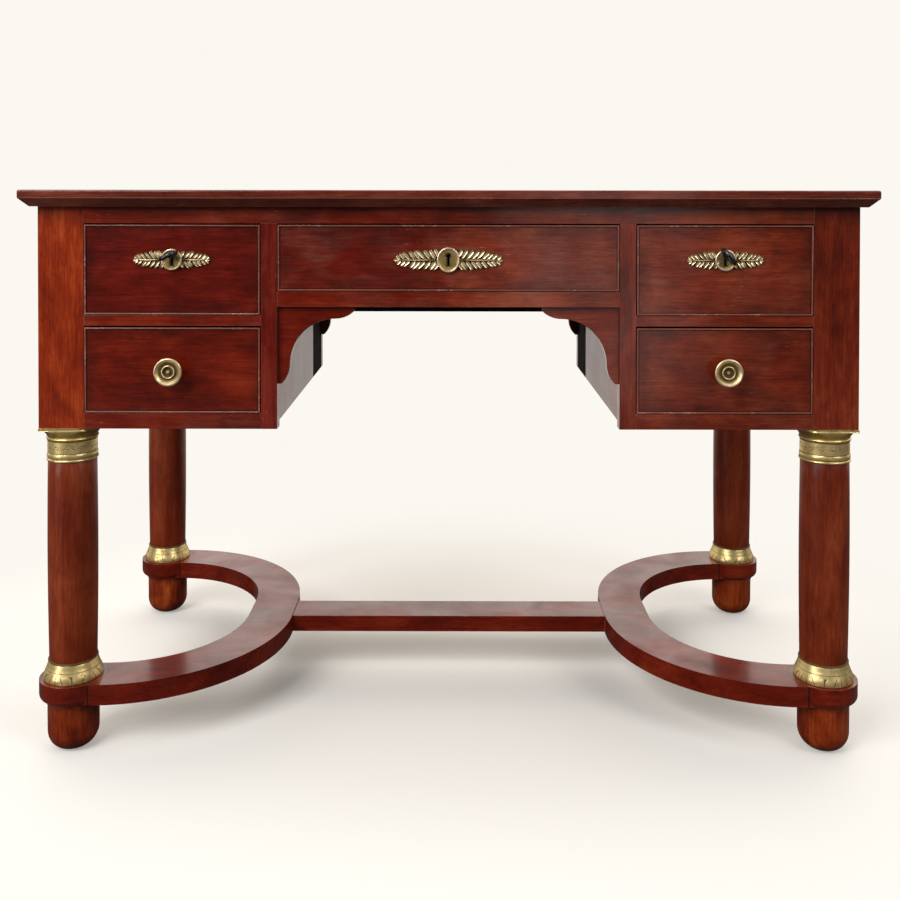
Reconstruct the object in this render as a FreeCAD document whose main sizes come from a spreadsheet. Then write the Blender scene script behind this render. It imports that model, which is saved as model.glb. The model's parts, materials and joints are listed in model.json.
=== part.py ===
"""A mahogany writing desk: top, five-drawer case, four columns with brass collars, and a curved stretcher.

Millimetres. X runs along the desk, the drawers face -Y, Z is up and the origin is the middle of the footprint
on the floor.
"""
import FreeCAD, Part
import math
import os
import re

import Sketcher

# Driving sizes, one cell each: name, value in millimetres, meaning
SIZES = (
    ("desk_height", "770", "floor to the writing surface"),
    ("top_length", "1150", "top board along X"),
    ("top_depth", "584", "top board along Y"),
    ("top_thickness", "22.5", "top board, whole thickness"),
    ("top_fascia", "11", "upright part of the top's edge"),
    ("top_round", "2.5", "rounding of the top's upper edge"),
    ("top_overhang", "20", "top board beyond the case"),
    ("leather_margin", "68", "wooden border round the leather"),
    ("leather_thickness", "1.6", "skin let into the top"),
    ("case_height", "301", "drawer case, underside to top board"),
    ("frame_depth", "20", "thickness of the front frame, the back and the drawer fronts"),
    ("post_width", "62", "square corner post"),
    ("stile_width", "22", "stile beside the kneehole"),
    ("kneehole_width", "463", "clear width between the pedestals"),
    ("kneehole_recess", "6.5", "kneehole sides behind the edge of the front stiles"),
    ("rear_stile_depth", "115", "stile at the back of a kneehole side"),
    ("top_rail_height", "22.5", "rail over the drawers"),
    ("upper_drawer_height", "124", "opening of an upper side drawer"),
    ("divider_height", "15", "rail between two side drawers"),
    ("bottom_rail_height", "21.5", "rail under the lower drawers"),
    ("centre_drawer_height", "91.5", "opening of the centre drawer"),
    ("kneehole_rail_height", "21.5", "rail under the centre drawer"),
    ("ceiling_thickness", "8", "board over the kneehole"),
    ("side_thickness", "18", "outer side panel"),
    ("floor_thickness", "12", "pedestal floor"),
    ("dust_board_thickness", "8", "board between two side drawers"),
    ("guide_height", "20", "guide strip beside a drawer"),
    ("strip_width", "28", "runner and kicker strips"),
    ("tenon_length", "10", "tenons of the front frame"),
    ("tenon_thickness", "8", "tenons of the front frame"),
    ("tenon_shoulder", "3", "shoulder above and below a tenon"),
    ("bracket_reach", "105", "kneehole bracket along rail and stile"),
    ("bracket_thickness", "14", "kneehole bracket"),
    ("bracket_setback", "6", "bracket behind the face of the frame"),
    ("bracket_bow_radius", "62", "hollow curve of the bracket"),
    ("bracket_bow_centre", "78.5", "centre of that curve from rail and stile"),
    ("bracket_tip", "5", "blunt end of the bracket"),
    ("leg_inset", "34", "column axis from the faces of the case"),
    ("column_top_radius", "32.5", "column under the capital"),
    ("column_foot_radius", "31.7", "column above the base ring"),
    ("column_swell", "1.2", "swelling of the column's side"),
    ("column_end_radius", "26", "reduced ends inside the brass collars"),
    ("dowel_radius", "14", "pins turned on the column"),
    ("dowel_depth", "30", "pin inside the post"),
    ("foot_socket", "25", "pin inside the foot"),
    ("fit_clearance", "0.1", "radial room round pins and collars"),
    ("capital_height", "47.5", "brass capital"),
    ("capital_flange", "6", "square plate of the capital"),
    ("capital_flange_radius", "41", "round side of that plate"),
    ("capital_proud", "1", "plate beyond the faces of the case"),
    ("capital_neck_radius", "32.8", "neck of the capital"),
    ("capital_bead_radius", "34.7", "beads of the capital"),
    ("capital_foot_bead", "5.5", "height of the lower bead"),
    ("capital_astragal", "4", "height of the upper bead"),
    ("capital_throat", "7", "hollow between upper bead and plate"),
    ("capital_hollow", "1.8", "depth of that hollow"),
    ("ring_height", "27", "brass base ring"),
    ("ring_top_radius", "33.2", "upper bead of the base ring"),
    ("ring_waist_radius", "32", "base ring below that bead"),
    ("ring_foot_radius", "38", "lower bulge of the base ring"),
    ("ring_foot_height", "13", "height of that bulge"),
    ("ring_bead", "4", "height of the upper bead"),
    ("foot_radius", "34", "turned foot"),
    ("foot_base_radius", "14", "flat under the foot"),
    ("foot_round_height", "30", "rounded lower part of the foot"),
    ("foot_collar", "4", "collar at the top of the foot"),
    ("foot_collar_radius", "35", "collar at the top of the foot"),
    ("stretcher_top", "97", "upper face of the stretcher"),
    ("stretcher_thickness", "28", "stretcher curves"),
    ("stretcher_width", "69", "band of the stretcher curves"),
    ("stretcher_straight", "32", "straight stretch at the ends and half the middle of a curve"),
    ("pad_radius", "45", "round pad under a column"),
    ("pad_round", "9", "rounding under the pad"),
    ("bar_width", "62", "straight bar of the stretcher"),
    ("bar_drop", "1.5", "bar below the curves, above and below"),
    ("bar_tenon", "25", "tenon of the bar"),
    ("bar_tenon_width", "40", "tenon of the bar"),
    ("bar_tenon_thickness", "10", "tenon of the bar"),
    ("drawer_gap", "1", "room beside a drawer"),
    ("drawer_headroom", "2", "room above a drawer"),
    ("seat_gap", "0.3", "room under a drawer"),
    ("drawer_room", "24", "room behind a drawer"),
    ("drawer_side_thickness", "10", "drawer sides and back"),
    ("drawer_bottom_thickness", "7", "drawer bottom"),
    ("bottom_rise", "12", "drawer bottom above the lower edge"),
    ("groove_depth", "5", "groove that holds the bottom"),
    ("side_drop", "6", "drawer sides below the front's upper edge"),
    ("back_drop", "4", "drawer back below the sides"),
    ("tail_lap", "13", "length of a dovetail"),
    ("tail_slope", "2.5", "flare of a dovetail on each edge"),
    ("pin_width", "9", "wood between two dovetails"),
    ("bead_width", "2.4", "cock bead round a drawer front"),
    ("bead_rise", "1.6", "cock bead beyond the drawer front"),
    ("bead_round", "1", "rounding of the cock bead"),
    ("lock_width", "50", "lock case"),
    ("lock_depth", "10", "lock case, let into the drawer front"),
    ("lock_skirt", "19", "lock case below the key"),
    ("lock_wall", "1.5", "sheet of the lock case"),
    ("key_drop", "41", "key below the drawer front's upper edge"),
    ("drill_pin_radius", "1.6", "pin inside the hollow key"),
    ("drill_pin_length", "8", "pin inside the hollow key"),
    ("keyhole_radius", "3.2", "round part of the keyhole"),
    ("keyhole_slot", "3", "width of the keyhole's slot"),
    ("keyhole_length", "15", "slot below the key's axis"),
    ("key_shank_radius", "2.6", "shank of the key"),
    ("key_reach", "29", "key beyond the drawer front"),
    ("key_bow_radius", "9.2", "ring of the bow"),
    ("key_bow_wire", "2.3", "half thickness of the bow"),
    ("key_collar_radius", "4.2", "collar of the key"),
    ("key_collar_length", "3", "collar of the key"),
    ("key_bit_reach", "6", "bit beyond the key's axis"),
    ("key_bit_thickness", "2.4", "bit of the key"),
    ("key_bit_width", "4", "bit along the shank"),
    ("bolt_width", "22", "lock bolt"),
    ("bolt_thickness", "3", "lock bolt"),
    ("bolt_throw", "8", "rise of the bolt"),
    ("bolt_clearance", "0.3", "room round the bolt"),
    ("bolt_shoulder", "14", "bolt head above the key"),
    ("bolt_leg_offset", "3.8", "bolt leg beside the key"),
    ("bolt_leg_drop", "9", "bolt leg below the key"),
    ("notch_depth", "3", "notch for the bit"),
    ("notch_high", "1.7", "notch below the key, upper side"),
    ("notch_low", "6.3", "notch below the key, lower side"),
    ("mortise_room", "1", "room round the bolt in the top rail"),
    ("escutcheon_thickness", "1.6", "leaf-shaped plate"),
    ("escutcheon_drop", "6", "middle of the plate below the key"),
    ("shield_thickness", "2.6", "round shield of the plate"),
    ("escutcheon_length", "105", "plate of a side drawer"),
    ("escutcheon_height", "26", "plate of a side drawer"),
    ("shield_radius", "14.6", "shield of a side drawer"),
    ("centre_escutcheon_length", "149", "plate of the centre drawer"),
    ("centre_escutcheon_height", "31", "plate of the centre drawer"),
    ("centre_shield_radius", "16.6", "shield of the centre drawer"),
    ("knob_radius", "19", "drawer knob"),
    ("knob_reach", "26", "knob beyond the drawer front"),
    ("knob_rim", "4", "height of the knob's rim"),
    ("knob_lip", "2", "rounding of the rim towards the face"),
    ("knob_dish", "4", "hollow of the knob's face"),
    ("knob_dish_round", "30", "curve of that hollow"),
    ("knob_boss_radius", "8.7", "raised ring in the face"),
    ("knob_boss_width", "2.4", "raised ring in the face"),
    ("knob_boss_rise", "2", "raised ring in the face"),
    ("knob_button_radius", "4", "button in the middle"),
    ("knob_button_rise", "2.6", "button in the middle"),
    ("knob_neck_radius", "6.5", "neck of the knob"),
    ("knob_neck_height", "9", "narrowest place of the neck"),
    ("knob_seat_radius", "9.5", "seat of the knob"),
    ("knob_seat", "3", "height of the seat"),
    ("knob_seat_round", "7", "hollow from seat to neck"),
    ("knob_head_round", "20", "hollow from neck to head"),
    ("knob_stem_radius", "4", "threaded stem"),
    ("nut_width", "14", "nut inside the drawer"),
    ("nut_thickness", "5", "nut inside the drawer"),
)
# Turn of each key's bow as it stands in its lock, in degrees, seen from the front
LEFT_KEY_TILT = 20
RIGHT_KEY_TILT = -45

# Leaf plate: where its ends start to close, as a share of its half length and half height, and how far they bulge
LEAF_SHOULDER_ALONG = 0.67
LEAF_SHOULDER_UP = 0.743
LEAF_END_BULGE = 0.17
# The bit's turn with the bolt drawn back, in degrees
BIT_START = -45
TAILS_PER_SIDE = 3

LEFT = -1
RIGHT = 1
FRONT_SIDE = -1
REAR_SIDE = 1
STRAIGHT = ("straight", "0")
# Radius of a moulding's curve over the moulding's height
BEAD_ROUND = 0.6
BULGE_ROUND = 0.9
HOLLOW_ROUND = 1.2
# Two places closer than this are the same
TOUCH = 1e-4

doc = FreeCAD.newDocument("writing_desk")
sheet = doc.addObject("Spreadsheet::Sheet", "sizes")
for row, (size_name, size_value, meaning) in enumerate(SIZES, start=1):
    sheet.set(f"A{row}", size_name)
    sheet.set(f"B{row}", size_value)
    sheet.set(f"C{row}", meaning)
    sheet.setAlias(f"B{row}", size_name)
doc.recompute()

SIZE_NAMES = {size_name for size_name, size_value, meaning in SIZES}
nodes = []

# Planes and edges that several pieces share, as expressions of the sizes
CASE_X = "(top_length / 2 - top_overhang)"
CASE_Y = "(top_depth / 2 - top_overhang)"
CASE_TOP = "(desk_height - top_thickness)"
CASE_LOW = f"({CASE_TOP} - case_height)"
FRONT = f"(-{CASE_Y})"
FRAME_BACK = f"({FRONT} + frame_depth)"
BACK_INSIDE = f"({CASE_Y} - frame_depth)"
INSIDE_DEPTH = f"({BACK_INSIDE} - {FRAME_BACK})"
POST_X = f"({CASE_X} - post_width)"
POST_Y = f"({CASE_Y} - post_width)"
PANEL_X = f"({CASE_X} - side_thickness)"
KNEE_X = "(kneehole_width / 2)"
STILE_X = f"({KNEE_X} + stile_width)"
KNEE_SIDE_X = f"({KNEE_X} + kneehole_recess)"
UPPER_HIGH = f"({CASE_TOP} - top_rail_height)"
UPPER_LOW = f"({UPPER_HIGH} - upper_drawer_height)"
LOWER_HIGH = f"({UPPER_LOW} - divider_height)"
LOWER_LOW = f"({CASE_LOW} + bottom_rail_height)"
CENTRE_LOW = f"({UPPER_HIGH} - centre_drawer_height)"
CEILING_TOP = f"({CENTRE_LOW} - kneehole_rail_height)"
LEG_X = f"({CASE_X} - leg_inset)"
LEG_Y = f"({CASE_Y} - leg_inset)"
STRETCHER_LOW = "(stretcher_top - stretcher_thickness)"
RING_TOP = "(stretcher_top + ring_height)"
CAPITAL_LOW = f"({CASE_LOW} - capital_height)"
DRAWER_BACK = f"({BACK_INSIDE} - drawer_room)"
SIDE_DRAWER_X = f"(({STILE_X} + {POST_X}) / 2)"
SIDE_DRAWER_WIDTH = f"({POST_X} - {STILE_X})"
KEY_Z = f"({UPPER_HIGH} - drawer_headroom - key_drop)"
BOLT_BACK = "(frame_depth - lock_wall - bolt_clearance)"
BOLT_FRONT = f"({BOLT_BACK} - bolt_thickness)"


# Helpers

def ref(text):
    """Write each size name in an expression as a reference to its cell."""
    return re.sub(r"[a-z_]+", lambda word: ("sizes." if word[0] in SIZE_NAMES else "") + word[0], text)


def value(text):
    """The number that an expression gives now."""
    return float(sheet.evalExpression(ref(text)))


def bind(item, **expressions):
    """Tie properties of an object to the sheet."""
    for name, text in expressions.items():
        item.setExpression(name, ref(text))
    return item


def place(item, x="0", y="0", z="0"):
    """Tie an object's position to the sheet."""
    for axis, text in zip("xyz", (x, y, z)):
        item.setExpression("Placement.Base." + axis, ref(text))
    return item


def turned_to(axis, degrees):
    """A placement that only turns."""
    return FreeCAD.Placement(FreeCAD.Vector(), FreeCAD.Rotation(FreeCAD.Vector(*axis), degrees))


def span(side, near, far):
    """Low end and length of a stretch that lies between two distances on one side of the middle."""
    low = near if side > 0 else f"(-{far})"
    return low, f"({far} - {near})"


def board(name, x, y, z, length, width, height):
    """A squared board from its low corner."""
    item = bind(doc.addObject("Part::Box", name), Length=length, Width=width, Height=height)
    return place(item, x, y, z)


def rod(name, x, y, z, radius, length, along_y=False):
    """A round rod that rises from its centre, or runs back from it along Y."""
    item = bind(doc.addObject("Part::Cylinder", name), Radius=radius, Height=length)
    if along_y:
        item.Placement = turned_to((1, 0, 0), -90)
    return place(item, x, y, z)


def join(name, *pieces):
    """One solid from several that meet."""
    item = doc.addObject("Part::MultiFuse", name)
    item.Shapes = list(pieces)
    item.Refine = True
    return item


def cut(name, base, *tools):
    """The base with the tools taken away."""
    item = doc.addObject("Part::Cut", name)
    item.Base = base
    item.Tool = tools[0] if len(tools) == 1 else join(name + "_tools", *tools)
    item.Refine = True
    return item


def group(name, *pieces):
    """Separate solids that share one node."""
    item = doc.addObject("Part::Compound", name)
    item.Links = list(pieces)
    return item


def mirror(name, piece, normal):
    """The piece's mirror image across a plane through the origin."""
    item = doc.addObject("Part::Mirroring", name)
    item.Source = piece
    item.Normal = FreeCAD.Vector(*normal)
    return item


def four_corners(name, piece):
    """The piece at the front left, and its images at the other three corners."""
    front_right = mirror(name + "_front_right", piece, (1, 0, 0))
    rear_left = mirror(name + "_rear_left", piece, (0, 1, 0))
    rear_right = mirror(name + "_rear_right", front_right, (0, 1, 0))
    return group(name, piece, front_right, rear_left, rear_right)


def node(item):
    """Mark an object as a finished sub-part: its label names its file."""
    nodes.append(item)
    return item


def new_body(name):
    return doc.addObject("PartDesign::Body", name)


def sketch_on(body, name, role):
    """A sketch on one of the body's own origin planes."""
    sketch = body.newObject("Sketcher::SketchObject", name)
    plane = next(item for item in body.Origin.OriginFeatures if item.Role == role)
    sketch.AttachmentSupport = (plane, [""])
    sketch.MapMode = "FlatFace"
    return sketch


def arc_between(start, finish, turn, radius):
    """The shorter arc that leaves the start with its centre on the left or right hand."""
    chord = finish - start
    side = 1 if turn == "left" else -1
    rise = math.sqrt(max(radius ** 2 - chord.Length ** 2 / 4, 0)) / chord.Length * side
    centre = (start + finish) / 2 + FreeCAD.Vector(-chord.y, chord.x, 0) * rise
    circle = Part.Circle(centre, FreeCAD.Vector(0, 0, 1), radius)
    ends = [math.atan2(point.y - centre.y, point.x - centre.x) for point in (start, finish)]
    if turn == "right":
        ends.reverse()
    return Part.ArcOfCircle(circle, *ends)


def fix_corner(sketch, edge, end, x, y):
    """Hold a corner at its place, or on the sketch's axis where its place is zero."""
    for kind, text, axis in (("DistanceX", x, -2), ("DistanceY", y, -1)):
        if text == "0":
            sketch.addConstraint(Sketcher.Constraint("PointOnObject", edge, end, axis))
        else:
            index = sketch.addConstraint(Sketcher.Constraint(kind, -1, 1, edge, end, value(text)))
            sketch.setExpression(f"Constraints[{index}]", ref(text))


def outline(sketch, corners):
    """Draw a closed outline. Each corner is its place and how the edge that leaves it bends."""
    points = [FreeCAD.Vector(value(x), value(y), 0) for x, y, bend in corners]
    edges = []
    for index, (x, y, (turn, radius)) in enumerate(corners):
        start = points[index]
        finish = points[(index + 1) % len(points)]
        if turn == "straight":
            shape = Part.LineSegment(start, finish)
        else:
            shape = arc_between(start, finish, turn, value(radius))
        edge = sketch.addGeometry(shape, False)
        edges.append((edge, 2, 1) if turn == "right" else (edge, 1, 2))
    for index, (edge, first, last) in enumerate(edges):
        next_edge, next_first, next_last = edges[(index + 1) % len(edges)]
        sketch.addConstraint(Sketcher.Constraint("Coincident", edge, last, next_edge, next_first))
        x, y, (turn, radius) = corners[index]
        fix_corner(sketch, edge, first, x, y)
        if turn != "straight":
            bend = sketch.addConstraint(Sketcher.Constraint("Radius", edge, value(radius)))
            sketch.setExpression(f"Constraints[{bend}]", ref(radius))


def rectangle(sketch, half_length, low, high):
    """An upright rectangle about the sketch's vertical axis."""
    outline(sketch, (
        (f"-{half_length}", low, STRAIGHT),
        (half_length, low, STRAIGHT),
        (half_length, high, STRAIGHT),
        (f"-{half_length}", high, STRAIGHT),
    ))


def pad(body, name, sketch, length):
    feature = body.newObject("PartDesign::Pad", name)
    feature.Profile = sketch
    return bind(feature, Length=length)


def turned(name, corners):
    """A turned piece about Z, from half its section as radius and height."""
    body = new_body(name)
    sketch = sketch_on(body, name + "_section", "XZ_Plane")
    outline(sketch, corners)
    feature = body.newObject("PartDesign::Revolution", name + "_turning")
    feature.Profile = sketch
    feature.ReferenceAxis = (sketch, ["V_Axis"])
    feature.Angle = 360
    return body


def left(radius):
    return ("left", radius)


def right(radius):
    return ("right", radius)


def sagitta_radius(chord, rise):
    """Radius of an arc from its chord and its rise."""
    return f"((({chord}) ^ 2 / 4 + ({rise}) ^ 2) / (2 * ({rise})))"


# Top board and leather

def flat_face(shape, height):
    """Name of the level face at a height."""
    for index, face in enumerate(shape.Faces, start=1):
        if abs(face.BoundBox.ZMin - height) < TOUCH and abs(face.BoundBox.ZMax - height) < TOUCH:
            return f"Face{index}"
    raise ValueError(f"no level face at {height}")


def top_board():
    body = place(new_body("top_board"), z=CASE_TOP)
    sketch = sketch_on(body, "top_outline", "XY_Plane")
    rectangle(sketch, "top_length / 2", "-top_depth / 2", "top_depth / 2")
    slab = pad(body, "top_slab", sketch, "top_thickness")
    doc.recompute()
    underside = flat_face(slab.Shape, 0)
    bevel = body.newObject("PartDesign::Chamfer", "top_bevel")
    bevel.Base = (slab, [underside])
    bind(bevel, Size="top_thickness - top_fascia")
    doc.recompute()
    soft = body.newObject("PartDesign::Fillet", "top_soft_edge")
    soft.Base = (bevel, [flat_face(bevel.Shape, value("top_thickness"))])
    bind(soft, Radius="top_round")
    doc.recompute()
    bed_sketch = sketch_on(body, "leather_bed_outline", "XY_Plane")
    bed_sketch.setExpression("AttachmentOffset.Base.z", ref("top_thickness"))
    rectangle(bed_sketch, "(top_length / 2 - leather_margin)", "-(top_depth / 2 - leather_margin)",
              "top_depth / 2 - leather_margin")
    bed = body.newObject("PartDesign::Pocket", "leather_bed")
    bed.Profile = bed_sketch
    bind(bed, Length="leather_thickness")
    doc.recompute()
    taken = soft.Shape.Volume - bed.Shape.Volume
    wanted = value("(top_length - 2 * leather_margin) * (top_depth - 2 * leather_margin) * leather_thickness")
    if abs(taken - wanted) > TOUCH * wanted:
        raise ValueError("the leather bed is cut the wrong way")
    node(body)
    node(board("writing_leather", "-(top_length / 2 - leather_margin)", "-(top_depth / 2 - leather_margin)",
               "desk_height - leather_thickness", "top_length - 2 * leather_margin",
               "top_depth - 2 * leather_margin", "leather_thickness"))


# Case

def tenon(name, x, low, height):
    """A frame rail's tenon that starts at x and runs along +X."""
    return board(name, x, f"{FRONT} + (frame_depth - tenon_thickness) / 2", f"{low} + tenon_shoulder",
                 "tenon_length", "tenon_thickness", f"({height}) - 2 * tenon_shoulder")


def frame_rail(name, low_x, high_x, low, height):
    """A rail of the front frame with a tenon at each end: returns rail, left tenon and right tenon."""
    bar = board(name + "_bar", low_x, FRONT, low, f"{high_x} - {low_x}", "frame_depth", height)
    left_tenon = tenon(name + "_left_tenon", f"{low_x} - tenon_length", low, height)
    right_tenon = tenon(name + "_right_tenon", high_x, low, height)
    return join(name, bar, left_tenon, right_tenon), left_tenon, right_tenon


def side_name(side):
    return "left" if side == LEFT else "right"


def front_frame():
    """Rails and stiles of the front; returns the mortises that each front post needs."""
    top, top_left, top_right = frame_rail("top_rail_blank", f"-{POST_X}", POST_X, UPPER_HIGH, "top_rail_height")
    knee, knee_left, knee_right = frame_rail("kneehole_rail", f"-{KNEE_X}", KNEE_X, CEILING_TOP,
                                             "kneehole_rail_height")
    mortises = {LEFT: [top_left], RIGHT: [top_right]}
    knee_tenons = {LEFT: knee_left, RIGHT: knee_right}
    dividers, bottoms, stiles, stile_tenons = [], [], [], []
    for side in (LEFT, RIGHT):
        tag = side_name(side)
        low_x = STILE_X if side == RIGHT else f"(-{POST_X})"
        high_x = POST_X if side == RIGHT else f"(-{STILE_X})"
        rails = []
        for kind, low, height, shelf in (("divider_rail", LOWER_HIGH, "divider_height", dividers),
                                         ("bottom_rail", CASE_LOW, "bottom_rail_height", bottoms)):
            rail, left_tenon, right_tenon = frame_rail(f"{tag}_{kind}", low_x, high_x, low, height)
            shelf.append(rail)
            mortises[side].append(right_tenon if side == RIGHT else left_tenon)
            rails.append(left_tenon if side == RIGHT else right_tenon)
        stile_x, stile_length = span(side, KNEE_X, STILE_X)
        post = board(f"{tag}_stile_bar", stile_x, FRONT, CASE_LOW, stile_length, "frame_depth",
                     f"{UPPER_HIGH} - {CASE_LOW}")
        head = board(f"{tag}_stile_tenon", f"{stile_x} + tenon_shoulder",
                     f"{FRONT} + (frame_depth - tenon_thickness) / 2", UPPER_HIGH,
                     "stile_width - 2 * tenon_shoulder", "tenon_thickness", "tenon_length")
        stile_tenons.append(head)
        stiles.append(cut(f"{tag}_stile", join(f"{tag}_stile_blank", post, head), knee_tenons[side], *rails))
    bolt_pockets = [
        board(f"bolt_pocket_{index}", f"{centre} - bolt_width / 2 - mortise_room",
              f"{FRONT} + {BOLT_FRONT} - mortise_room", UPPER_HIGH, "bolt_width + 2 * mortise_room",
              "bolt_thickness + 2 * mortise_room", "bolt_throw + mortise_room")
        for index, centre in enumerate((f"-{SIDE_DRAWER_X}", "0", SIDE_DRAWER_X))
    ]
    node(cut("front_top_rail", top, *stile_tenons, *bolt_pockets))
    node(knee)
    node(group("divider_rails", *dividers))
    node(group("bottom_rails", *bottoms))
    node(group("front_stiles", *stiles))
    return mortises


def posts(mortises):
    """Square corner posts; returns their plain blocks, which notch the boards between them."""
    blocks = {}
    finished = []
    for side in (LEFT, RIGHT):
        for end, end_name in ((FRONT_SIDE, "front"), (REAR_SIDE, "rear")):
            tag = f"{end_name}_{side_name(side)}"
            x, length = span(side, POST_X, CASE_X)
            y, width = span(end, POST_Y, CASE_Y)
            block = board(f"{tag}_post_block", x, y, CASE_LOW, length, width, "case_height")
            socket = rod(f"{tag}_post_socket", f"{side} * {LEG_X}", f"{end} * {LEG_Y}", CASE_LOW,
                         "dowel_radius + fit_clearance", "dowel_depth + fit_clearance")
            cuts = mortises[side] if end == FRONT_SIDE else []
            blocks[side, end] = block
            finished.append(cut(f"{tag}_post", block, socket, *cuts))
    node(group("corner_posts", *finished))
    return blocks


def panels(blocks):
    """Sides, back, floors and the other boards between the posts."""
    shelves = {"side_panels": [], "kneehole_sides": [], "kneehole_rear_stiles": [], "back_panels": [],
               "pedestal_floors": [], "dust_boards": []}
    for side in (LEFT, RIGHT):
        tag = side_name(side)
        x, length = span(side, PANEL_X, CASE_X)
        shelves["side_panels"].append(
            board(f"{tag}_side_panel", x, f"-{POST_Y}", CASE_LOW, length, f"2 * {POST_Y}", "case_height"))
        x, length = span(side, KNEE_SIDE_X, STILE_X)
        shelves["kneehole_sides"].append(
            board(f"{tag}_kneehole_side", x, FRAME_BACK, CASE_LOW, length, f"{INSIDE_DEPTH} - rear_stile_depth",
                  "case_height"))
        shelves["kneehole_rear_stiles"].append(
            board(f"{tag}_kneehole_rear_stile", x, f"{BACK_INSIDE} - rear_stile_depth", CASE_LOW, length,
                  "rear_stile_depth", "case_height"))
        x, length = span(side, KNEE_SIDE_X, POST_X)
        shelves["back_panels"].append(
            board(f"{tag}_back_panel", x, BACK_INSIDE, CASE_LOW, length, "frame_depth", "case_height"))
        x, length = span(side, STILE_X, PANEL_X)
        for kind, top, thickness in (("pedestal_floors", LOWER_LOW, "floor_thickness"),
                                     ("dust_boards", UPPER_LOW, "dust_board_thickness")):
            sheet_board = board(f"{tag}_{kind}_board", x, FRAME_BACK, f"{top} - {thickness}", length, INSIDE_DEPTH,
                                thickness)
            shelves[kind].append(cut(f"{tag}_{kind}", sheet_board, blocks[side, FRONT_SIDE],
                                     blocks[side, REAR_SIDE]))
    for name, pieces in shelves.items():
        node(group(name, *pieces))
    node(board("back_apron", f"-{KNEE_SIDE_X}", BACK_INSIDE, CEILING_TOP, f"2 * {KNEE_SIDE_X}", "frame_depth",
               f"{CASE_TOP} - {CEILING_TOP}"))
    node(board("kneehole_ceiling", f"-{KNEE_SIDE_X}", FRAME_BACK, f"{CEILING_TOP} - ceiling_thickness",
               f"2 * {KNEE_SIDE_X}", INSIDE_DEPTH, "ceiling_thickness"))


def guides():
    """Strips that guide the drawers at the side, carry the centre one and keep all from tipping."""
    strips = []
    for side in (LEFT, RIGHT):
        tag = side_name(side)
        x, length = span(side, POST_X, PANEL_X)
        for level, low in (("lower", LOWER_LOW), ("upper", UPPER_LOW)):
            strips.append(board(f"{tag}_{level}_guide", x, f"-{POST_Y}", low, length, f"2 * {POST_Y}",
                                "guide_height"))
        x, length = span(side, KNEE_X, KNEE_SIDE_X)
        strips.append(board(f"{tag}_centre_guide", x, FRAME_BACK, CENTRE_LOW, length, INSIDE_DEPTH, "guide_height"))
        inner = f"({KNEE_X} - strip_width)"
        x, length = span(side, inner, KNEE_SIDE_X)
        strips.append(board(f"{tag}_centre_runner", x, FRAME_BACK, CEILING_TOP, length, INSIDE_DEPTH,
                            "kneehole_rail_height"))
        for kind, near, far in (("centre", inner, KNEE_SIDE_X),
                                ("inner", STILE_X, f"({STILE_X} + strip_width)"),
                                ("outer", f"({POST_X} - strip_width)", POST_X)):
            x, length = span(side, near, far)
            strips.append(board(f"{tag}_{kind}_kicker", x, FRAME_BACK, UPPER_HIGH, length, INSIDE_DEPTH,
                                "top_rail_height"))
    node(group("drawer_guides", *strips))


def brackets():
    """Curved brackets in the upper corners of the kneehole, seen as a hollow quarter round with two noses."""
    low = "(bracket_bow_centre - bracket_bow_radius)"
    nose_length = "(bracket_reach - bracket_bow_centre)"
    nose_rise = f"({low} - bracket_tip)"
    nose = left(f"(({nose_length} ^ 2 + {nose_rise} ^ 2) / (2 * {nose_rise}))")
    finished = []
    for end_name, edge, rear_face in (
            ("front", KNEE_X, f"{FRONT} + bracket_setback + bracket_thickness"),
            ("rear", KNEE_SIDE_X, f"{CASE_Y} - bracket_setback")):
        body = place(new_body(f"{end_name}_left_bracket"), f"-{edge}", rear_face, CEILING_TOP)
        sketch = sketch_on(body, f"{end_name}_bracket_outline", "XZ_Plane")
        outline(sketch, (
            ("0", "0", STRAIGHT),
            ("0", "-bracket_reach", STRAIGHT),
            ("bracket_tip", "-bracket_reach", nose),
            (low, "-bracket_bow_centre", right("bracket_bow_radius")),
            ("bracket_bow_centre", f"-{low}", nose),
            ("bracket_reach", "-bracket_tip", STRAIGHT),
            ("bracket_reach", "0", STRAIGHT),
        ))
        pad(body, f"{end_name}_bracket_board", sketch, "bracket_thickness")
        finished += [body, mirror(f"{end_name}_right_bracket", body, (1, 0, 0))]
    node(group("kneehole_brackets", *finished))


# Legs and stretcher

def columns():
    swell = left(sagitta_radius(f"{CAPITAL_LOW} - {RING_TOP}", "column_swell"))
    column = turned("column_front_left", (
        ("0", f"{STRETCHER_LOW} - foot_socket", STRAIGHT),
        ("dowel_radius", f"{STRETCHER_LOW} - foot_socket", STRAIGHT),
        ("dowel_radius", "stretcher_top", STRAIGHT),
        ("column_end_radius", "stretcher_top", STRAIGHT),
        ("column_end_radius", RING_TOP, STRAIGHT),
        ("column_foot_radius", RING_TOP, swell),
        ("column_top_radius", CAPITAL_LOW, STRAIGHT),
        ("column_end_radius", CAPITAL_LOW, STRAIGHT),
        ("column_end_radius", CASE_LOW, STRAIGHT),
        ("dowel_radius", CASE_LOW, STRAIGHT),
        ("dowel_radius", f"{CASE_LOW} + dowel_depth", STRAIGHT),
        ("0", f"{CASE_LOW} + dowel_depth", STRAIGHT),
    ))
    place(column, f"-{LEG_X}", f"-{LEG_Y}")
    node(four_corners("columns", column))


def round_bead(height):
    """A bead that is a little flatter than a half round."""
    return left(f"({BEAD_ROUND} * {height})")


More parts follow.
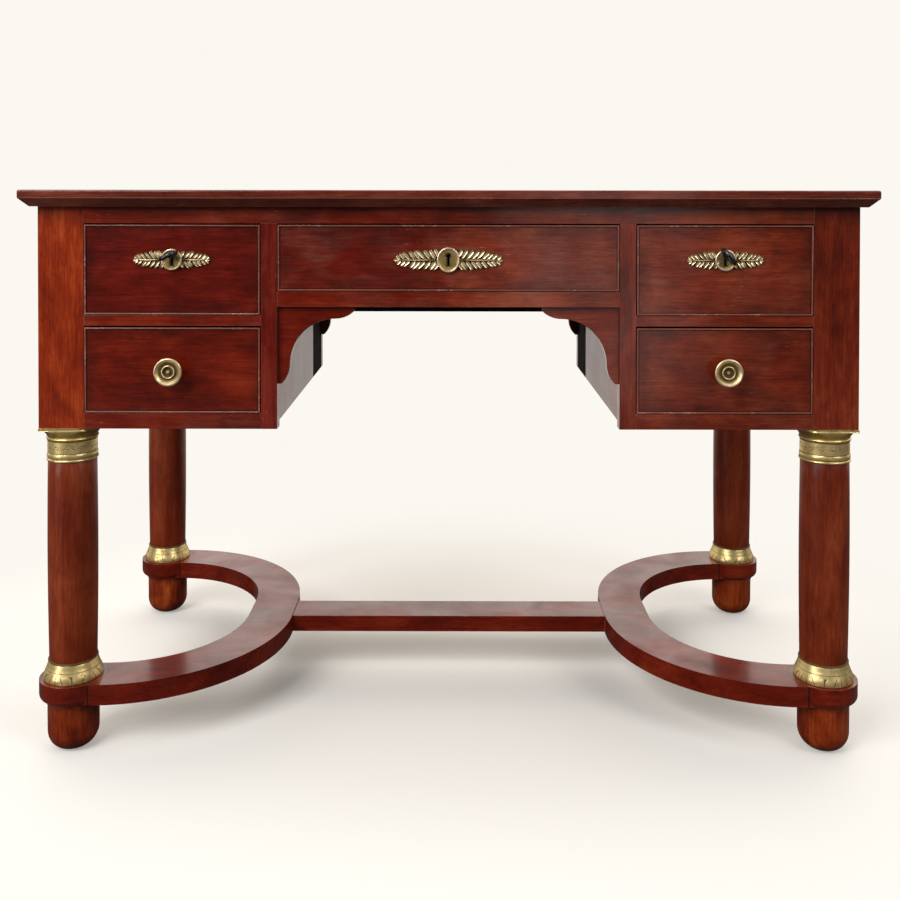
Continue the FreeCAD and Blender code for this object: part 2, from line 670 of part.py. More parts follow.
def capitals():
    bore = "(column_end_radius + fit_clearance)"
    plate_low = f"({CASE_LOW} - capital_flange)"
    astragal_top = f"({plate_low} - capital_throat)"
    throat_reach = "(capital_flange_radius - capital_proud - capital_neck_radius)"
    throat = right(sagitta_radius(f"sqrt({throat_reach} ^ 2 + capital_throat ^ 2)", "capital_hollow"))
    sleeve = turned("capital_sleeve", (
        (bore, CAPITAL_LOW, STRAIGHT),
        ("capital_bead_radius", CAPITAL_LOW, round_bead("capital_foot_bead")),
        ("capital_bead_radius", f"{CAPITAL_LOW} + capital_foot_bead", STRAIGHT),
        ("capital_neck_radius", f"{CAPITAL_LOW} + capital_foot_bead", STRAIGHT),
        ("capital_neck_radius", f"{astragal_top} - capital_astragal", STRAIGHT),
        ("capital_bead_radius", f"{astragal_top} - capital_astragal", round_bead("capital_astragal")),
        ("capital_bead_radius", astragal_top, STRAIGHT),
        ("capital_neck_radius", astragal_top, throat),
        ("capital_flange_radius - capital_proud", plate_low, STRAIGHT),
        ("capital_flange_radius - capital_proud", CASE_LOW, STRAIGHT),
        (bore, CASE_LOW, STRAIGHT),
    ))
    place(sleeve, f"-{LEG_X}", f"-{LEG_Y}")
    disc = rod("capital_disc", f"-{LEG_X}", f"-{LEG_Y}", plate_low, "capital_flange_radius", "capital_flange")
    square = board("capital_square", f"-{CASE_X} - capital_proud", f"-{CASE_Y} - capital_proud", plate_low,
                   "leg_inset + capital_proud", "leg_inset + capital_proud", "capital_flange")
    hole = rod("capital_hole", f"-{LEG_X}", f"-{LEG_Y}", CAPITAL_LOW, bore, "capital_height")
    whole = cut("capital_whole", join("capital_blank", sleeve, disc, square), hole)
    reach = "(leg_inset + capital_proud + capital_flange_radius)"
    field = board("capital_field", f"-{CASE_X} - capital_proud", f"-{CASE_Y} - capital_proud", CAPITAL_LOW,
                  reach, reach, "capital_height")
    trimmed = doc.addObject("Part::Common", "capital_front_left")
    trimmed.Base = whole
    trimmed.Tool = field
    node(four_corners("capitals", trimmed))


def base_rings():
    bore = "(column_end_radius + fit_clearance)"
    bead_low = f"({RING_TOP} - ring_bead)"
    bulge_top = "(stretcher_top + ring_foot_height)"
    hollow_height = f"({bead_low} - {bulge_top})"
    ring = turned("base_ring_front_left", (
        (bore, "stretcher_top", STRAIGHT),
        ("ring_foot_radius", "stretcher_top", left(f"{BULGE_ROUND} * ring_foot_height")),
        ("ring_foot_radius - ring_bead / 2", bulge_top, right(f"{HOLLOW_ROUND} * {hollow_height}")),
        ("ring_waist_radius", bead_low, STRAIGHT),
        ("ring_top_radius", bead_low, round_bead("ring_bead")),
        ("ring_top_radius", RING_TOP, STRAIGHT),
        (bore, RING_TOP, STRAIGHT),
    ))
    place(ring, f"-{LEG_X}", f"-{LEG_Y}")
    node(four_corners("base_rings", ring))


def feet():
    bore = "(dowel_radius + fit_clearance)"
    collar_low = f"({STRETCHER_LOW} - foot_collar)"
    taper = "(foot_radius - foot_base_radius)"
    bowl = left(f"((foot_round_height ^ 2 + {taper} ^ 2) / (2 * {taper}))")
    foot = turned("foot_front_left", (
        ("0", "0", STRAIGHT),
        ("foot_base_radius", "0", bowl),
        ("foot_radius", "foot_round_height", STRAIGHT),
        ("foot_radius", collar_low, STRAIGHT),
        ("foot_collar_radius", collar_low, round_bead("foot_collar")),
        ("foot_collar_radius", STRETCHER_LOW, STRAIGHT),
        (bore, STRETCHER_LOW, STRAIGHT),
        (bore, f"{STRETCHER_LOW} - foot_socket - fit_clearance", STRAIGHT),
        ("0", f"{STRETCHER_LOW} - foot_socket - fit_clearance", STRAIGHT),
    ))
    place(foot, f"-{LEG_X}", f"-{LEG_Y}")
    node(four_corners("feet", foot))


def stretcher():
    """Two C curves that run from front column to rear column, and the bar between their backs."""
    outer = f"({LEG_Y} + stretcher_width / 2)"
    inner = f"({LEG_Y} - stretcher_width / 2)"
    body = place(new_body("left_curve_band"), f"-{LEG_X}", "0", STRETCHER_LOW)
    sketch = sketch_on(body, "curve_outline", "XY_Plane")
    outline(sketch, (
        ("0", f"-{outer}", STRAIGHT),
        ("stretcher_straight", f"-{outer}", left(f"({outer} - stretcher_straight)")),
        (outer, "-stretcher_straight", STRAIGHT),
        (outer, "stretcher_straight", left(f"({outer} - stretcher_straight)")),
        ("stretcher_straight", outer, STRAIGHT),
        ("0", outer, STRAIGHT),
        ("0", inner, STRAIGHT),
        ("stretcher_straight", inner, right(f"({inner} - stretcher_straight)")),
        (inner, "stretcher_straight", STRAIGHT),
        (inner, "-stretcher_straight", right(f"({inner} - stretcher_straight)")),
        ("stretcher_straight", f"-{inner}", STRAIGHT),
        ("0", f"-{inner}", STRAIGHT),
    ))
    pad(body, "curve_band", sketch, "stretcher_thickness")
    pads, holes = [], []
    for end, end_name in ((FRONT_SIDE, "front"), (REAR_SIDE, "rear")):
        place_y = f"{end} * {LEG_Y}"
        round_pad = turned(f"{end_name}_pad", (
            ("0", STRETCHER_LOW, STRAIGHT),
            ("pad_radius - pad_round", STRETCHER_LOW, left("pad_round")),
            ("pad_radius", f"{STRETCHER_LOW} + pad_round", STRAIGHT),
            ("pad_radius", "stretcher_top", STRAIGHT),
            ("0", "stretcher_top", STRAIGHT),
        ))
        pads.append(place(round_pad, f"-{LEG_X}", place_y))
        holes.append(rod(f"{end_name}_pad_hole", f"-{LEG_X}", place_y, STRETCHER_LOW,
                         "dowel_radius + fit_clearance", "stretcher_thickness"))
    bar_end = f"({LEG_X} - {outer})"
    bar_low = f"({STRETCHER_LOW} + bar_drop)"
    bar_thickness = "(stretcher_thickness - 2 * bar_drop)"
    bar = board("bar_blank", f"-{bar_end}", "-bar_width / 2", bar_low, f"2 * {bar_end}", "bar_width", bar_thickness)
    tenon_low = f"({bar_low} + ({bar_thickness} - bar_tenon_thickness) / 2)"
    tenons = {}
    for side in (LEFT, RIGHT):
        x, length = span(side, bar_end, f"({bar_end} + bar_tenon)")
        tenons[side] = board(f"{side_name(side)}_bar_tenon", x, "-bar_tenon_width / 2", tenon_low, length,
                             "bar_tenon_width", "bar_tenon_thickness")
    left_curve = cut("stretcher_curve_left", join("left_curve_blank", body, *pads), *holes, tenons[LEFT])
    node(left_curve)
    node(mirror("stretcher_curve_right", left_curve, (1, 0, 0)))
    node(join("stretcher_bar", bar, *tenons.values()))


# Drawers

def dovetail(name, x, middle, height):
    """One tail of a drawer side: it widens towards its end inside the drawer front."""
    item = doc.addObject("Part::Wedge", name)
    bind(item, Xmin="0", Xmax="drawer_side_thickness", X2min="0", X2max="drawer_side_thickness",
         Ymin="0", Ymax="tail_lap", Zmin=f"-({height}) / 2", Zmax=f"({height}) / 2",
         Z2min=f"tail_slope - ({height}) / 2", Z2max=f"({height}) / 2 - tail_slope")
    return place(item, x, f"{FRAME_BACK} - tail_lap", middle)


def front_blank(name, centre, half, low, high):
    """Drawer front with its cock bead, before the joints are cut."""
    body = place(new_body(name), centre, FRAME_BACK)
    face = sketch_on(body, name + "_face", "XZ_Plane")
    rectangle(face, half, low, high)
    pad(body, name + "_board", face, "frame_depth")
    frame = sketch_on(body, name + "_bead_outline", "XZ_Plane")
    frame.setExpression("AttachmentOffset.Base.z", ref("frame_depth"))
    rectangle(frame, half, low, high)
    rectangle(frame, f"({half} - bead_width)", f"{low} + bead_width", f"{high} - bead_width")
    bead = pad(body, name + "_bead", frame, "bead_rise")
    doc.recompute()
    crest = -value("frame_depth + bead_rise")
    soft = body.newObject("PartDesign::Fillet", name + "_bead_round")
    soft.Base = (bead, [f"Edge{index}" for index, edge in enumerate(bead.Shape.Edges, start=1)
                        if abs(edge.BoundBox.YMax - crest) < TOUCH])
    bind(soft, Radius="bead_round")
    return body


def drawer(name, centre, width, low, high, front_cuts):
    """A dovetailed drawer in its opening."""
    half = f"(({width}) / 2 - drawer_gap)"
    bottom_edge = f"({low} + seat_gap)"
    top_edge = f"({high} - drawer_headroom)"
    side_height = f"({top_edge} - side_drop - {bottom_edge})"
    inner_half = f"({half} - drawer_side_thickness)"
    panel_low = f"({bottom_edge} + bottom_rise)"
    panel_top = f"({panel_low} + drawer_bottom_thickness)"
    bottom = board(f"{name}_drawer_bottom", f"{centre} - {inner_half} - groove_depth", f"{FRAME_BACK} - groove_depth",
                   panel_low, f"2 * ({inner_half} + groove_depth)", f"{DRAWER_BACK} - {FRAME_BACK} + groove_depth",
                   "drawer_bottom_thickness")
    pitch = f"({side_height} / {TAILS_PER_SIDE})"
    sides, tails = [], []
    for side in (LEFT, RIGHT):
        tag = f"{name}_{side_name(side)}"
        x = f"{centre} - {half}" if side == LEFT else f"{centre} + {inner_half}"
        plank = board(f"{tag}_plank", x, FRAME_BACK, bottom_edge, "drawer_side_thickness",
                      f"{DRAWER_BACK} - {FRAME_BACK}", side_height)
        own_tails = [dovetail(f"{tag}_tail_{step}", x, f"{bottom_edge} + {pitch} * {step + 0.5}",
                              f"{pitch} - pin_width") for step in range(TAILS_PER_SIDE)]
        tails.extend(own_tails)
        sides.append(cut(f"{tag}_side", join(f"{tag}_side_blank", plank, *own_tails), bottom))
    blank = front_blank(f"{name}_front_blank", centre, half, bottom_edge, top_edge)
    node(cut(f"{name}_drawer_front", blank, bottom, *tails, *front_cuts))
    node(group(f"{name}_drawer_sides", *sides))
    node(board(f"{name}_drawer_back", f"{centre} - {inner_half}", f"{DRAWER_BACK} - drawer_side_thickness", panel_top,
               f"2 * {inner_half}", "drawer_side_thickness",
               f"{bottom_edge} + {side_height} - back_drop - {panel_top}"))
    node(bottom)


def keyhole_cuts(name, centre):
    """The keyhole through a drawer front, round above and slotted below."""
    eye = rod(f"{name}_keyhole_eye", centre, FRONT, KEY_Z, "keyhole_radius", "frame_depth", along_y=True)
    slot = board(f"{name}_keyhole_slot", f"{centre} - keyhole_slot / 2", FRONT, f"{KEY_Z} - keyhole_length",
                 "keyhole_slot", "frame_depth", "keyhole_length")
    return eye, slot


def lock(name, centre):
    """A lock let into the back of a drawer front; returns what the front has cut out for it."""
    lock_top = f"({UPPER_HIGH} - drawer_headroom)"
    lock_low = f"({KEY_Z} - lock_skirt)"
    lock_front = f"({FRAME_BACK} - lock_depth)"
    block = board(f"{name}_lock_block", f"{centre} - lock_width / 2", lock_front, lock_low, "lock_width", "lock_depth",
                  f"{lock_top} - {lock_low}")
    cavity = board(f"{name}_lock_cavity", f"{centre} - lock_width / 2 + lock_wall", f"{lock_front} + lock_wall",
                   f"{lock_low} + lock_wall", "lock_width - 2 * lock_wall", "lock_depth - 2 * lock_wall",
                   f"{lock_top} - {lock_low} - 2 * lock_wall")
    slot = board(f"{name}_bolt_slot", f"{centre} - bolt_width / 2 - bolt_clearance",
                 f"{FRONT} + {BOLT_FRONT} - bolt_clearance", f"{lock_top} - 2 * lock_wall",
                 "bolt_width + 2 * bolt_clearance", "bolt_thickness + 2 * bolt_clearance", "2 * lock_wall")
    eye, key_slot = keyhole_cuts(f"{name}_lock", centre)
    front_sheet = board(f"{name}_lock_front_sheet", f"{centre} - lock_width / 2", lock_front, lock_low, "lock_width",
                        "2 * lock_wall", f"{lock_top} - {lock_low}")
    opening = doc.addObject("Part::Common", f"{name}_lock_keyhole")
    opening.Base = join(f"{name}_lock_keyhole_blank", eye, key_slot)
    opening.Tool = front_sheet
    drill_pin = rod(f"{name}_drill_pin", centre, f"{FRAME_BACK} - lock_wall - drill_pin_length", KEY_Z,
                    "drill_pin_radius", "drill_pin_length + lock_wall", along_y=True)
    node(join(f"{name}_lock_case", cut(f"{name}_lock_shell", block, cavity, slot, opening), drill_pin))
    head = board(f"{name}_bolt_head", f"{centre} - bolt_width / 2", f"{FRONT} + {BOLT_FRONT}",
                 f"{KEY_Z} + bolt_shoulder", "bolt_width", "bolt_thickness", "key_drop - bolt_shoulder")
    leg = board(f"{name}_bolt_leg", f"{centre} + bolt_leg_offset", f"{FRONT} + {BOLT_FRONT}",
                f"{KEY_Z} - bolt_leg_drop", "bolt_width / 2 - bolt_leg_offset", "bolt_thickness",
                "bolt_leg_drop + bolt_shoulder")
    notch = board(f"{name}_bolt_notch", f"{centre} + bolt_leg_offset", f"{FRONT} + {BOLT_FRONT}",
                  f"{KEY_Z} - notch_low", "notch_depth", "bolt_thickness", "notch_low - notch_high")
    node(cut(f"{name}_lock_bolt", join(f"{name}_bolt_blank", head, leg), notch))
    return (block, *keyhole_cuts(f"{name}_front", centre))


def keyhole_loop(sketch):
    """The keyhole as an inner loop, about the key's axis above the plate's middle."""
    shoulder = "(escutcheon_drop - sqrt(keyhole_radius ^ 2 - keyhole_slot ^ 2 / 4))"
    slot_end = "(escutcheon_drop - keyhole_length)"
    bow = "keyhole_radius"
    outline(sketch, (
        ("keyhole_slot / 2", shoulder, STRAIGHT),
        ("keyhole_slot / 2", slot_end, STRAIGHT),
        ("-keyhole_slot / 2", slot_end, STRAIGHT),
        ("-keyhole_slot / 2", shoulder, right(bow)),
        ("-keyhole_radius", "escutcheon_drop", right(bow)),
        ("0", "escutcheon_drop + keyhole_radius", right(bow)),
        ("keyhole_radius", "escutcheon_drop", right(bow)),
    ))


def escutcheon(name, centre, length, height, shield):
    """A leaf-shaped brass plate with a round shield about the keyhole."""
    body = place(new_body(name), centre, FRONT, f"{KEY_Z} - escutcheon_drop")
    half_length = f"({length} / 2)"
    half_height = f"({height} / 2)"
    shoulder_x = f"({half_length} * {LEAF_SHOULDER_ALONG})"
    shoulder_z = f"({half_height} * {LEAF_SHOULDER_UP})"
    crown = right(sagitta_radius(f"(2 * {shoulder_x})", f"({half_height} - {shoulder_z})"))
    end_chord = f"sqrt(({half_length} - {shoulder_x}) ^ 2 + {shoulder_z} ^ 2)"
    end = right(sagitta_radius(end_chord, f"({half_height} * {LEAF_END_BULGE})"))
    leaf = sketch_on(body, name + "_leaf", "XZ_Plane")
    outline(leaf, (
        (f"-{half_length}", "0", end),
        (f"-{shoulder_x}", shoulder_z, crown),
        (shoulder_x, shoulder_z, end),
        (half_length, "0", end),
        (shoulder_x, f"-{shoulder_z}", crown),
        (f"-{shoulder_x}", f"-{shoulder_z}", end),
    ))
    keyhole_loop(leaf)
    pad(body, name + "_leaf_plate", leaf, "escutcheon_thickness")
    disc = sketch_on(body, name + "_shield", "XZ_Plane")
    round_side = left(shield)
    outline(disc, ((f"-{shield}", "0", round_side), ("0", f"-{shield}", round_side), (shield, "0", round_side),
                   ("0", shield, round_side)))
    keyhole_loop(disc)
    pad(body, name + "_shield_plate", disc, "shield_thickness")
    node(body)


def key(name, centre, tilt):
    """A hollow key as it stands in its lock: the bow outside, the bit beside the bolt's notch."""
    bow_y = "(key_reach - key_bow_radius - key_bow_wire)"
    shank_start = f"({bow_y} - key_bow_radius)"
    shank_end = "(frame_depth - lock_wall - bolt_clearance)"
    shank = rod(f"{name}_shank", "0", f"-{shank_start}", "0", "key_shank_radius", f"{shank_start} + {shank_end}",
                along_y=True)
    bit_front = f"({shank_end} - key_bit_width)"
    bit = board(f"{name}_bit", "0", bit_front, "-key_bit_thickness / 2", "key_bit_reach", "key_bit_width",
                "key_bit_thickness")
    barrel = rod(f"{name}_barrel", "0", f"{shank_end} - drill_pin_length", "0", "drill_pin_radius + fit_clearance",
                 "drill_pin_length", along_y=True)
    blade = cut(f"{name}_blade", join(f"{name}_blade_blank", shank, bit), barrel)
    blade.Placement = turned_to((0, -1, 0), BIT_START)
    ring = bind(doc.addObject("Part::Torus", f"{name}_ring"), Radius1="key_bow_radius", Radius2="key_bow_wire")
    place(ring, "0", f"-{bow_y}", "0")
    collar = rod(f"{name}_collar", "0", f"-{shank_start}", "0", "key_collar_radius", "key_collar_length",
                 along_y=True)
    bow = join(f"{name}_bow", ring, collar)
    bow.Placement = turned_to((0, -1, 0), tilt)
    node(place(join(name, blade, bow), centre, FRONT, KEY_Z))


def knob_middle(low, high):
    return f"(({low} + {high}) / 2)"


def knob_hole(name, centre, middle):
    return rod(f"{name}_hole", centre, FRONT, middle, "knob_stem_radius + fit_clearance", "frame_depth", along_y=True)


def knob(name, centre, middle):
    """A dished brass knob, turned with its stem, and the nut behind the drawer front."""
    stem_end = "(frame_depth + nut_thickness)"
    rim_low = "(knob_reach - knob_rim)"
    dish = "(knob_reach - knob_dish)"
    boss_inner = "(knob_boss_radius - knob_boss_width)"
    turning = turned(f"{name}_turning", (
        ("0", f"-{stem_end}", STRAIGHT),
        ("knob_stem_radius", f"-{stem_end}", STRAIGHT),
        ("knob_stem_radius", "0", STRAIGHT),
        ("knob_seat_radius", "0", STRAIGHT),
        ("knob_seat_radius", "knob_seat", right("knob_seat_round")),
        ("knob_neck_radius", "knob_neck_height", right("knob_head_round")),
        ("knob_radius", rim_low, left("knob_rim")),
        ("knob_radius - knob_lip", "knob_reach", right("knob_dish_round")),
        ("knob_boss_radius", dish, STRAIGHT),
        ("knob_boss_radius", f"{dish} + knob_boss_rise", STRAIGHT),
        (boss_inner, f"{dish} + knob_boss_rise", STRAIGHT),
        (boss_inner, dish, STRAIGHT),
        ("knob_button_radius", dish, left(sagitta_radius("2 * knob_button_radius", "knob_button_rise"))),
        ("0", f"{dish} + knob_button_rise", STRAIGHT),
    ))
    turning.Placement = turned_to((1, 0, 0), 90)
    place(turning, centre, FRONT, middle)
    nut_block = board(f"{name}_nut_block", f"{centre} - nut_width / 2", FRAME_BACK, f"{middle} - nut_width / 2",
                      "nut_width", "nut_thickness", "nut_width")
    bore = rod(f"{name}_nut_bore", centre, FRAME_BACK, middle, "knob_stem_radius + fit_clearance", "nut_thickness",
               along_y=True)
    node(group(name, turning, cut(f"{name}_nut", nut_block, bore)))


def drawers():
    for side, tilt in ((LEFT, LEFT_KEY_TILT), (RIGHT, RIGHT_KEY_TILT)):
        tag = side_name(side)
        centre = f"({side} * {SIDE_DRAWER_X})"
        lock_cuts = lock(tag, centre)
        drawer(f"upper_{tag}", centre, SIDE_DRAWER_WIDTH, UPPER_LOW, UPPER_HIGH, lock_cuts)
        escutcheon(f"{tag}_escutcheon", centre, "escutcheon_length", "escutcheon_height", "shield_radius")
        key(f"{tag}_key", centre, tilt)
        middle = knob_middle(LOWER_LOW, LOWER_HIGH)
        hole = knob_hole(f"{tag}_knob", centre, middle)
        drawer(f"lower_{tag}", centre, SIDE_DRAWER_WIDTH, LOWER_LOW, LOWER_HIGH, [hole])
        knob(f"{tag}_knob", centre, middle)
    drawer("centre", "0", "kneehole_width", CENTRE_LOW, UPPER_HIGH, lock("centre", "0"))
    escutcheon("centre_escutcheon", "0", "centre_escutcheon_length", "centre_escutcheon_height",
               "centre_shield_radius")


def build():
    top_board()
    blocks = posts(front_frame())
    panels(blocks)
    guides()
    brackets()
    columns()
    capitals()
    base_rings()
    feet()
    stretcher()
    drawers()
    doc.recompute()


def check():
    """Stop if any object failed or any sub-part is empty or broken."""
    failed = [item.Name for item in doc.Objects if {"Invalid", "Error"} & set(item.State)]
    failed += [item.Label for item in nodes if item.Shape.isNull() or not item.Shape.isValid()]
    if failed:
        raise RuntimeError("failed: " + ", ".join(failed))


def write():
    os.makedirs("parts", exist_ok=True)
    for item in nodes:
        item.Shape.exportStep(f"parts/{item.Label}.step")
        print(f"{item.Label}: {len(item.Shape.Solids)} solids, {item.Shape.Volume / 1000:.1f} cm3")
    print(f"{len(nodes)} nodes")


build()
check()
write()
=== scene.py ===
# %% [markdown]
# # An old mahogany writing desk
# The desk is a drawer case on four turned columns, tied together low down by two C-shaped stretchers and
# a bar. The CAD frame gives every piece its place. Here each piece gets the eased edges, mouldings, cast
# leaves and old polish that one sees on the real desk. Everything is in metres, drawers face -Y and Z is
# up.

# %% Load the frame
import json
import math
import random

import bpy
from mathutils import Matrix, Vector


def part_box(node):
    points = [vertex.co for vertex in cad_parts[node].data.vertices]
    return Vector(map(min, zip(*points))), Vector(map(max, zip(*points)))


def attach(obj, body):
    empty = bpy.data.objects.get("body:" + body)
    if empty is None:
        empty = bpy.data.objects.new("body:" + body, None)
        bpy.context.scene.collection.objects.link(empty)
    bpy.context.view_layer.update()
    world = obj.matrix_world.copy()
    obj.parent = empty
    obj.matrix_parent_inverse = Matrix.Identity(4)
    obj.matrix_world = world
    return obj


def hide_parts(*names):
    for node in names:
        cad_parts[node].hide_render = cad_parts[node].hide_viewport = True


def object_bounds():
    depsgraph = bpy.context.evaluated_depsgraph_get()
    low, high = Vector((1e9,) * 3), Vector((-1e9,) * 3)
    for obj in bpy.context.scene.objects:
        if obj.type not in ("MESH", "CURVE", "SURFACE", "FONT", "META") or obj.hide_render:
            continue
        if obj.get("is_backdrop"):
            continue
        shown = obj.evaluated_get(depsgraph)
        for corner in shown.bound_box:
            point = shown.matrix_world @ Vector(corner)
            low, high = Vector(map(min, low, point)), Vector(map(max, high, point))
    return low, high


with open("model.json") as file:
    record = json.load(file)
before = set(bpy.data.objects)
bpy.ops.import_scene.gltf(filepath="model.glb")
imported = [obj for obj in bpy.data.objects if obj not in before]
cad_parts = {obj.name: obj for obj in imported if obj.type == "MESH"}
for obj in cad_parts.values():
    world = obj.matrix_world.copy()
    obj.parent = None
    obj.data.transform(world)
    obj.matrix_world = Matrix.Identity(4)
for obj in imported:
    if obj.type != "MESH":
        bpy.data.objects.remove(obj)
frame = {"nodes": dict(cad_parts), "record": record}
cad_low, cad_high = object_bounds()
bodies = frame["record"]["behaviour"]["bodies"]
body_of_node = {name: body for body, names in bodies.items() for name in names}

# %% [markdown]
# ## Hand tools
# Blender's operators act on whatever is selected, and the loaded frame is still selected. So one helper
# selects one piece and nothing else, and another picks faces or points by their place, as one would click
# them. The others copy a CAD node or a finished piece, bring its place into its mesh, and hand it over to
# the body that carries it.

# %% Selecting
FRONT_FACE = -0.272
LEG_X = 0.521
LEG_Y = 0.238
MERGE_DISTANCE = 1e-6


def leave_edit():
    """Go back to object mode."""
    bpy.ops.object.mode_set(mode="OBJECT")


def only(*pieces):
    """Leave edit mode, select these pieces and make the first one active."""
    if bpy.context.mode != "OBJECT":
        leave_edit()
    bpy.ops.object.select_all(action="DESELECT")
    for piece in pieces:
        piece.select_set(True)
    bpy.context.view_layer.objects.active = pieces[0]


def choose(piece, kind, test):
    """Enter edit mode with the points or faces selected whose place and normal pass the test."""
    only(piece)
    bpy.ops.object.mode_set(mode="EDIT")
    bpy.ops.mesh.select_mode(type=kind)
    bpy.ops.mesh.select_all(action="DESELECT")
    leave_edit()
    if kind == "FACE":
        for face in piece.data.polygons:
            face.select = test(face.center, face.normal)
    else:
        for point in piece.data.vertices:
            point.select = test(point.co, point.normal)
    bpy.ops.object.mode_set(mode="EDIT")


def edit_all(piece):
    """Enter edit mode with everything selected."""
    only(piece)
    bpy.ops.object.mode_set(mode="EDIT")
    bpy.ops.mesh.select_all(action="SELECT")


def close_up(piece):
    """Merge doubled points, turn the faces outwards and go back to object mode."""
    edit_all(piece)
    bpy.ops.mesh.remove_doubles(threshold=MERGE_DISTANCE)
    bpy.ops.mesh.normals_make_consistent(inside=False)
    leave_edit()


# %% Copying and dressing
def cad_copy(node, name):
    """A copy of a CAD node with its loose triangles merged, left in edit mode with everything selected."""
    copy = bpy.data.objects.new(name, frame["nodes"][node].data.copy())
    bpy.context.scene.collection.objects.link(copy)
    edit_all(copy)
    bpy.ops.mesh.remove_doubles(threshold=MERGE_DISTANCE)
    bpy.ops.mesh.select_all(action="SELECT")
    return copy


def on_front(node):
    """The middle of a CAD node, brought to the face of the drawer fronts."""
    low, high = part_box(node)
    return Vector(((low.x + high.x) / 2, FRONT_FACE, (low.z + high.z) / 2))


def settle(piece, smooth_angle=35):
    """Bring place, turn and scale into the mesh and shade curved places smooth."""
    only(piece)
    bpy.ops.object.transform_apply(location=True, rotation=True, scale=True)
    bpy.ops.object.shade_smooth_by_angle(angle=math.radians(smooth_angle))
    return piece


def twin(piece, name, move=(0, 0, 0)):
    """A moved copy with its own mesh."""
    only(piece)
    bpy.ops.object.duplicate()
    copy = bpy.context.object
    copy.name = name
    copy.location = Vector(move)
    bpy.ops.object.transform_apply(location=True, rotation=True, scale=True)
    return copy


def merged(name, *pieces):
    """One piece from several."""
    only(*pieces)
    bpy.ops.object.join()
    pieces[0].name = name
    return pieces[0]


def dress(piece, body, slot, finish, *nodes):
    """Give a piece its finish and its body, and hide the CAD nodes that it stands for."""
    piece.data.materials.clear()
    for material in finish if isinstance(finish, tuple) else (finish,):
        piece.data.materials.append(material)
    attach(piece, body)
    if nodes:
        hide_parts(*nodes)
    return piece


print("hand tools ready")

# %% [markdown]
# ## Camera
# The photographer stood straight in front, with the lens a little below the writing surface, and most of
# the picture lies below the horizon. A camera could be tilted down for that, but then upright edges would
# lean. A level camera with a lens shift keeps them upright, as they are in the picture.

# %% Camera
camera_data = bpy.data.cameras.new("front_camera")
camera_data.sensor_width = 36
camera_data.lens = 41.47
camera_data.shift_y = -0.2607
camera = bpy.data.objects.new("front_camera", camera_data)
bpy.context.scene.collection.objects.link(camera)
CAMERA_PLACE = (0.00648, -1.66997, 0.75683)
CAMERA_YAW, CAMERA_PITCH, CAMERA_ROLL = 0.00313, 0.01484, 0.0013
aim = Matrix.Rotation(CAMERA_YAW, 4, "Z") @ Matrix.Rotation(math.pi / 2 - CAMERA_PITCH, 4, "X")
camera.matrix_world = Matrix.Translation(CAMERA_PLACE) @ aim @ Matrix.Rotation(CAMERA_ROLL, 4, "Z")
bpy.context.scene.camera = camera
bpy.context.scene.view_settings.view_transform = "Standard"
print("camera at", CAMERA_PLACE)

# %% [markdown]
# ## Building finishes from nodes
# A finish is a small tree of nodes. These helpers add a node, do a sum, blend two colours and spread a
# value over a range, so that the finishes below read like recipes.

# %% Node helpers
def give(tree, socket, source):
    """Link a socket to another node's output, or set its value."""
    if isinstance(source, bpy.types.NodeSocket):
        tree.links.new(source, socket)
    else:
        socket.default_value = source


def put(tree, kind, inputs=None, **options):
    """Add a node, set its options and give its inputs."""
    node = tree.nodes.new(kind)
    for option, choice in options.items():
        setattr(node, option, choice)
    for socket, source in (inputs or {}).items():
        give(tree, node.inputs[socket], source)
    return node


def sums(operation):
    """A helper that does one kind of sum."""
    def calc(tree, first, second=0.0):
        return put(tree, "ShaderNodeMath", {0: first, 1: second}, operation=operation).outputs[0]
    return calc


plus, minus, times = sums("ADD"), sums("SUBTRACT"), sums("MULTIPLY")
larger, smaller, absolute = sums("MAXIMUM"), sums("MINIMUM"), sums("ABSOLUTE")
sine, arctan2 = sums("SINE"), sums("ARCTAN2")


# %% Places, colours and patterns
def split(tree, vector):
    return put(tree, "ShaderNodeSeparateXYZ", {0: vector}).outputs


def length_of(tree, vector):
    return put(tree, "ShaderNodeVectorMath", {0: vector}, operation="LENGTH").outputs["Value"]


def scaled(tree, vector, factors):
    return put(tree, "ShaderNodeVectorMath", {0: vector, 1: factors}, operation="MULTIPLY").outputs[0]


def remap(tree, value, low, high, to_low=0.0, to_high=1.0):
    return put(tree, "ShaderNodeMapRange",
               {"Value": value, "From Min": low, "From Max": high, "To Min": to_low, "To Max": to_high},
               interpolation_type="SMOOTHSTEP").outputs[0]


def blend(tree, factor, first, second):
    return put(tree, "ShaderNodeMix", {0: factor, 6: first, 7: second}, data_type="RGBA").outputs[2]


def noise(tree, vector, scale, detail=3.0, roughness=0.55, distortion=0.0):
    return put(tree, "ShaderNodeTexNoise", {"Vector": vector, "Scale": scale, "Detail": detail,
                                            "Roughness": roughness, "Distortion": distortion}).outputs[0]


def grain_noise(tree, place, stretch, *settings):
    """Noise drawn out along the grain, which runs along Z."""
    return noise(tree, scaled(tree, place, (1, 1, stretch)), *settings)


def ramp(tree, factor, *stops):
    """A colour ramp from pairs of place and colour."""
    node = put(tree, "ShaderNodeValToRGB", {0: factor})
    while len(node.color_ramp.elements) < len(stops):
        node.color_ramp.elements.new(1.0)
    for element, (place, colour) in zip(node.color_ramp.elements, stops):
        element.position = place
        element.color = (*colour, 1.0)
    return node.outputs[0]


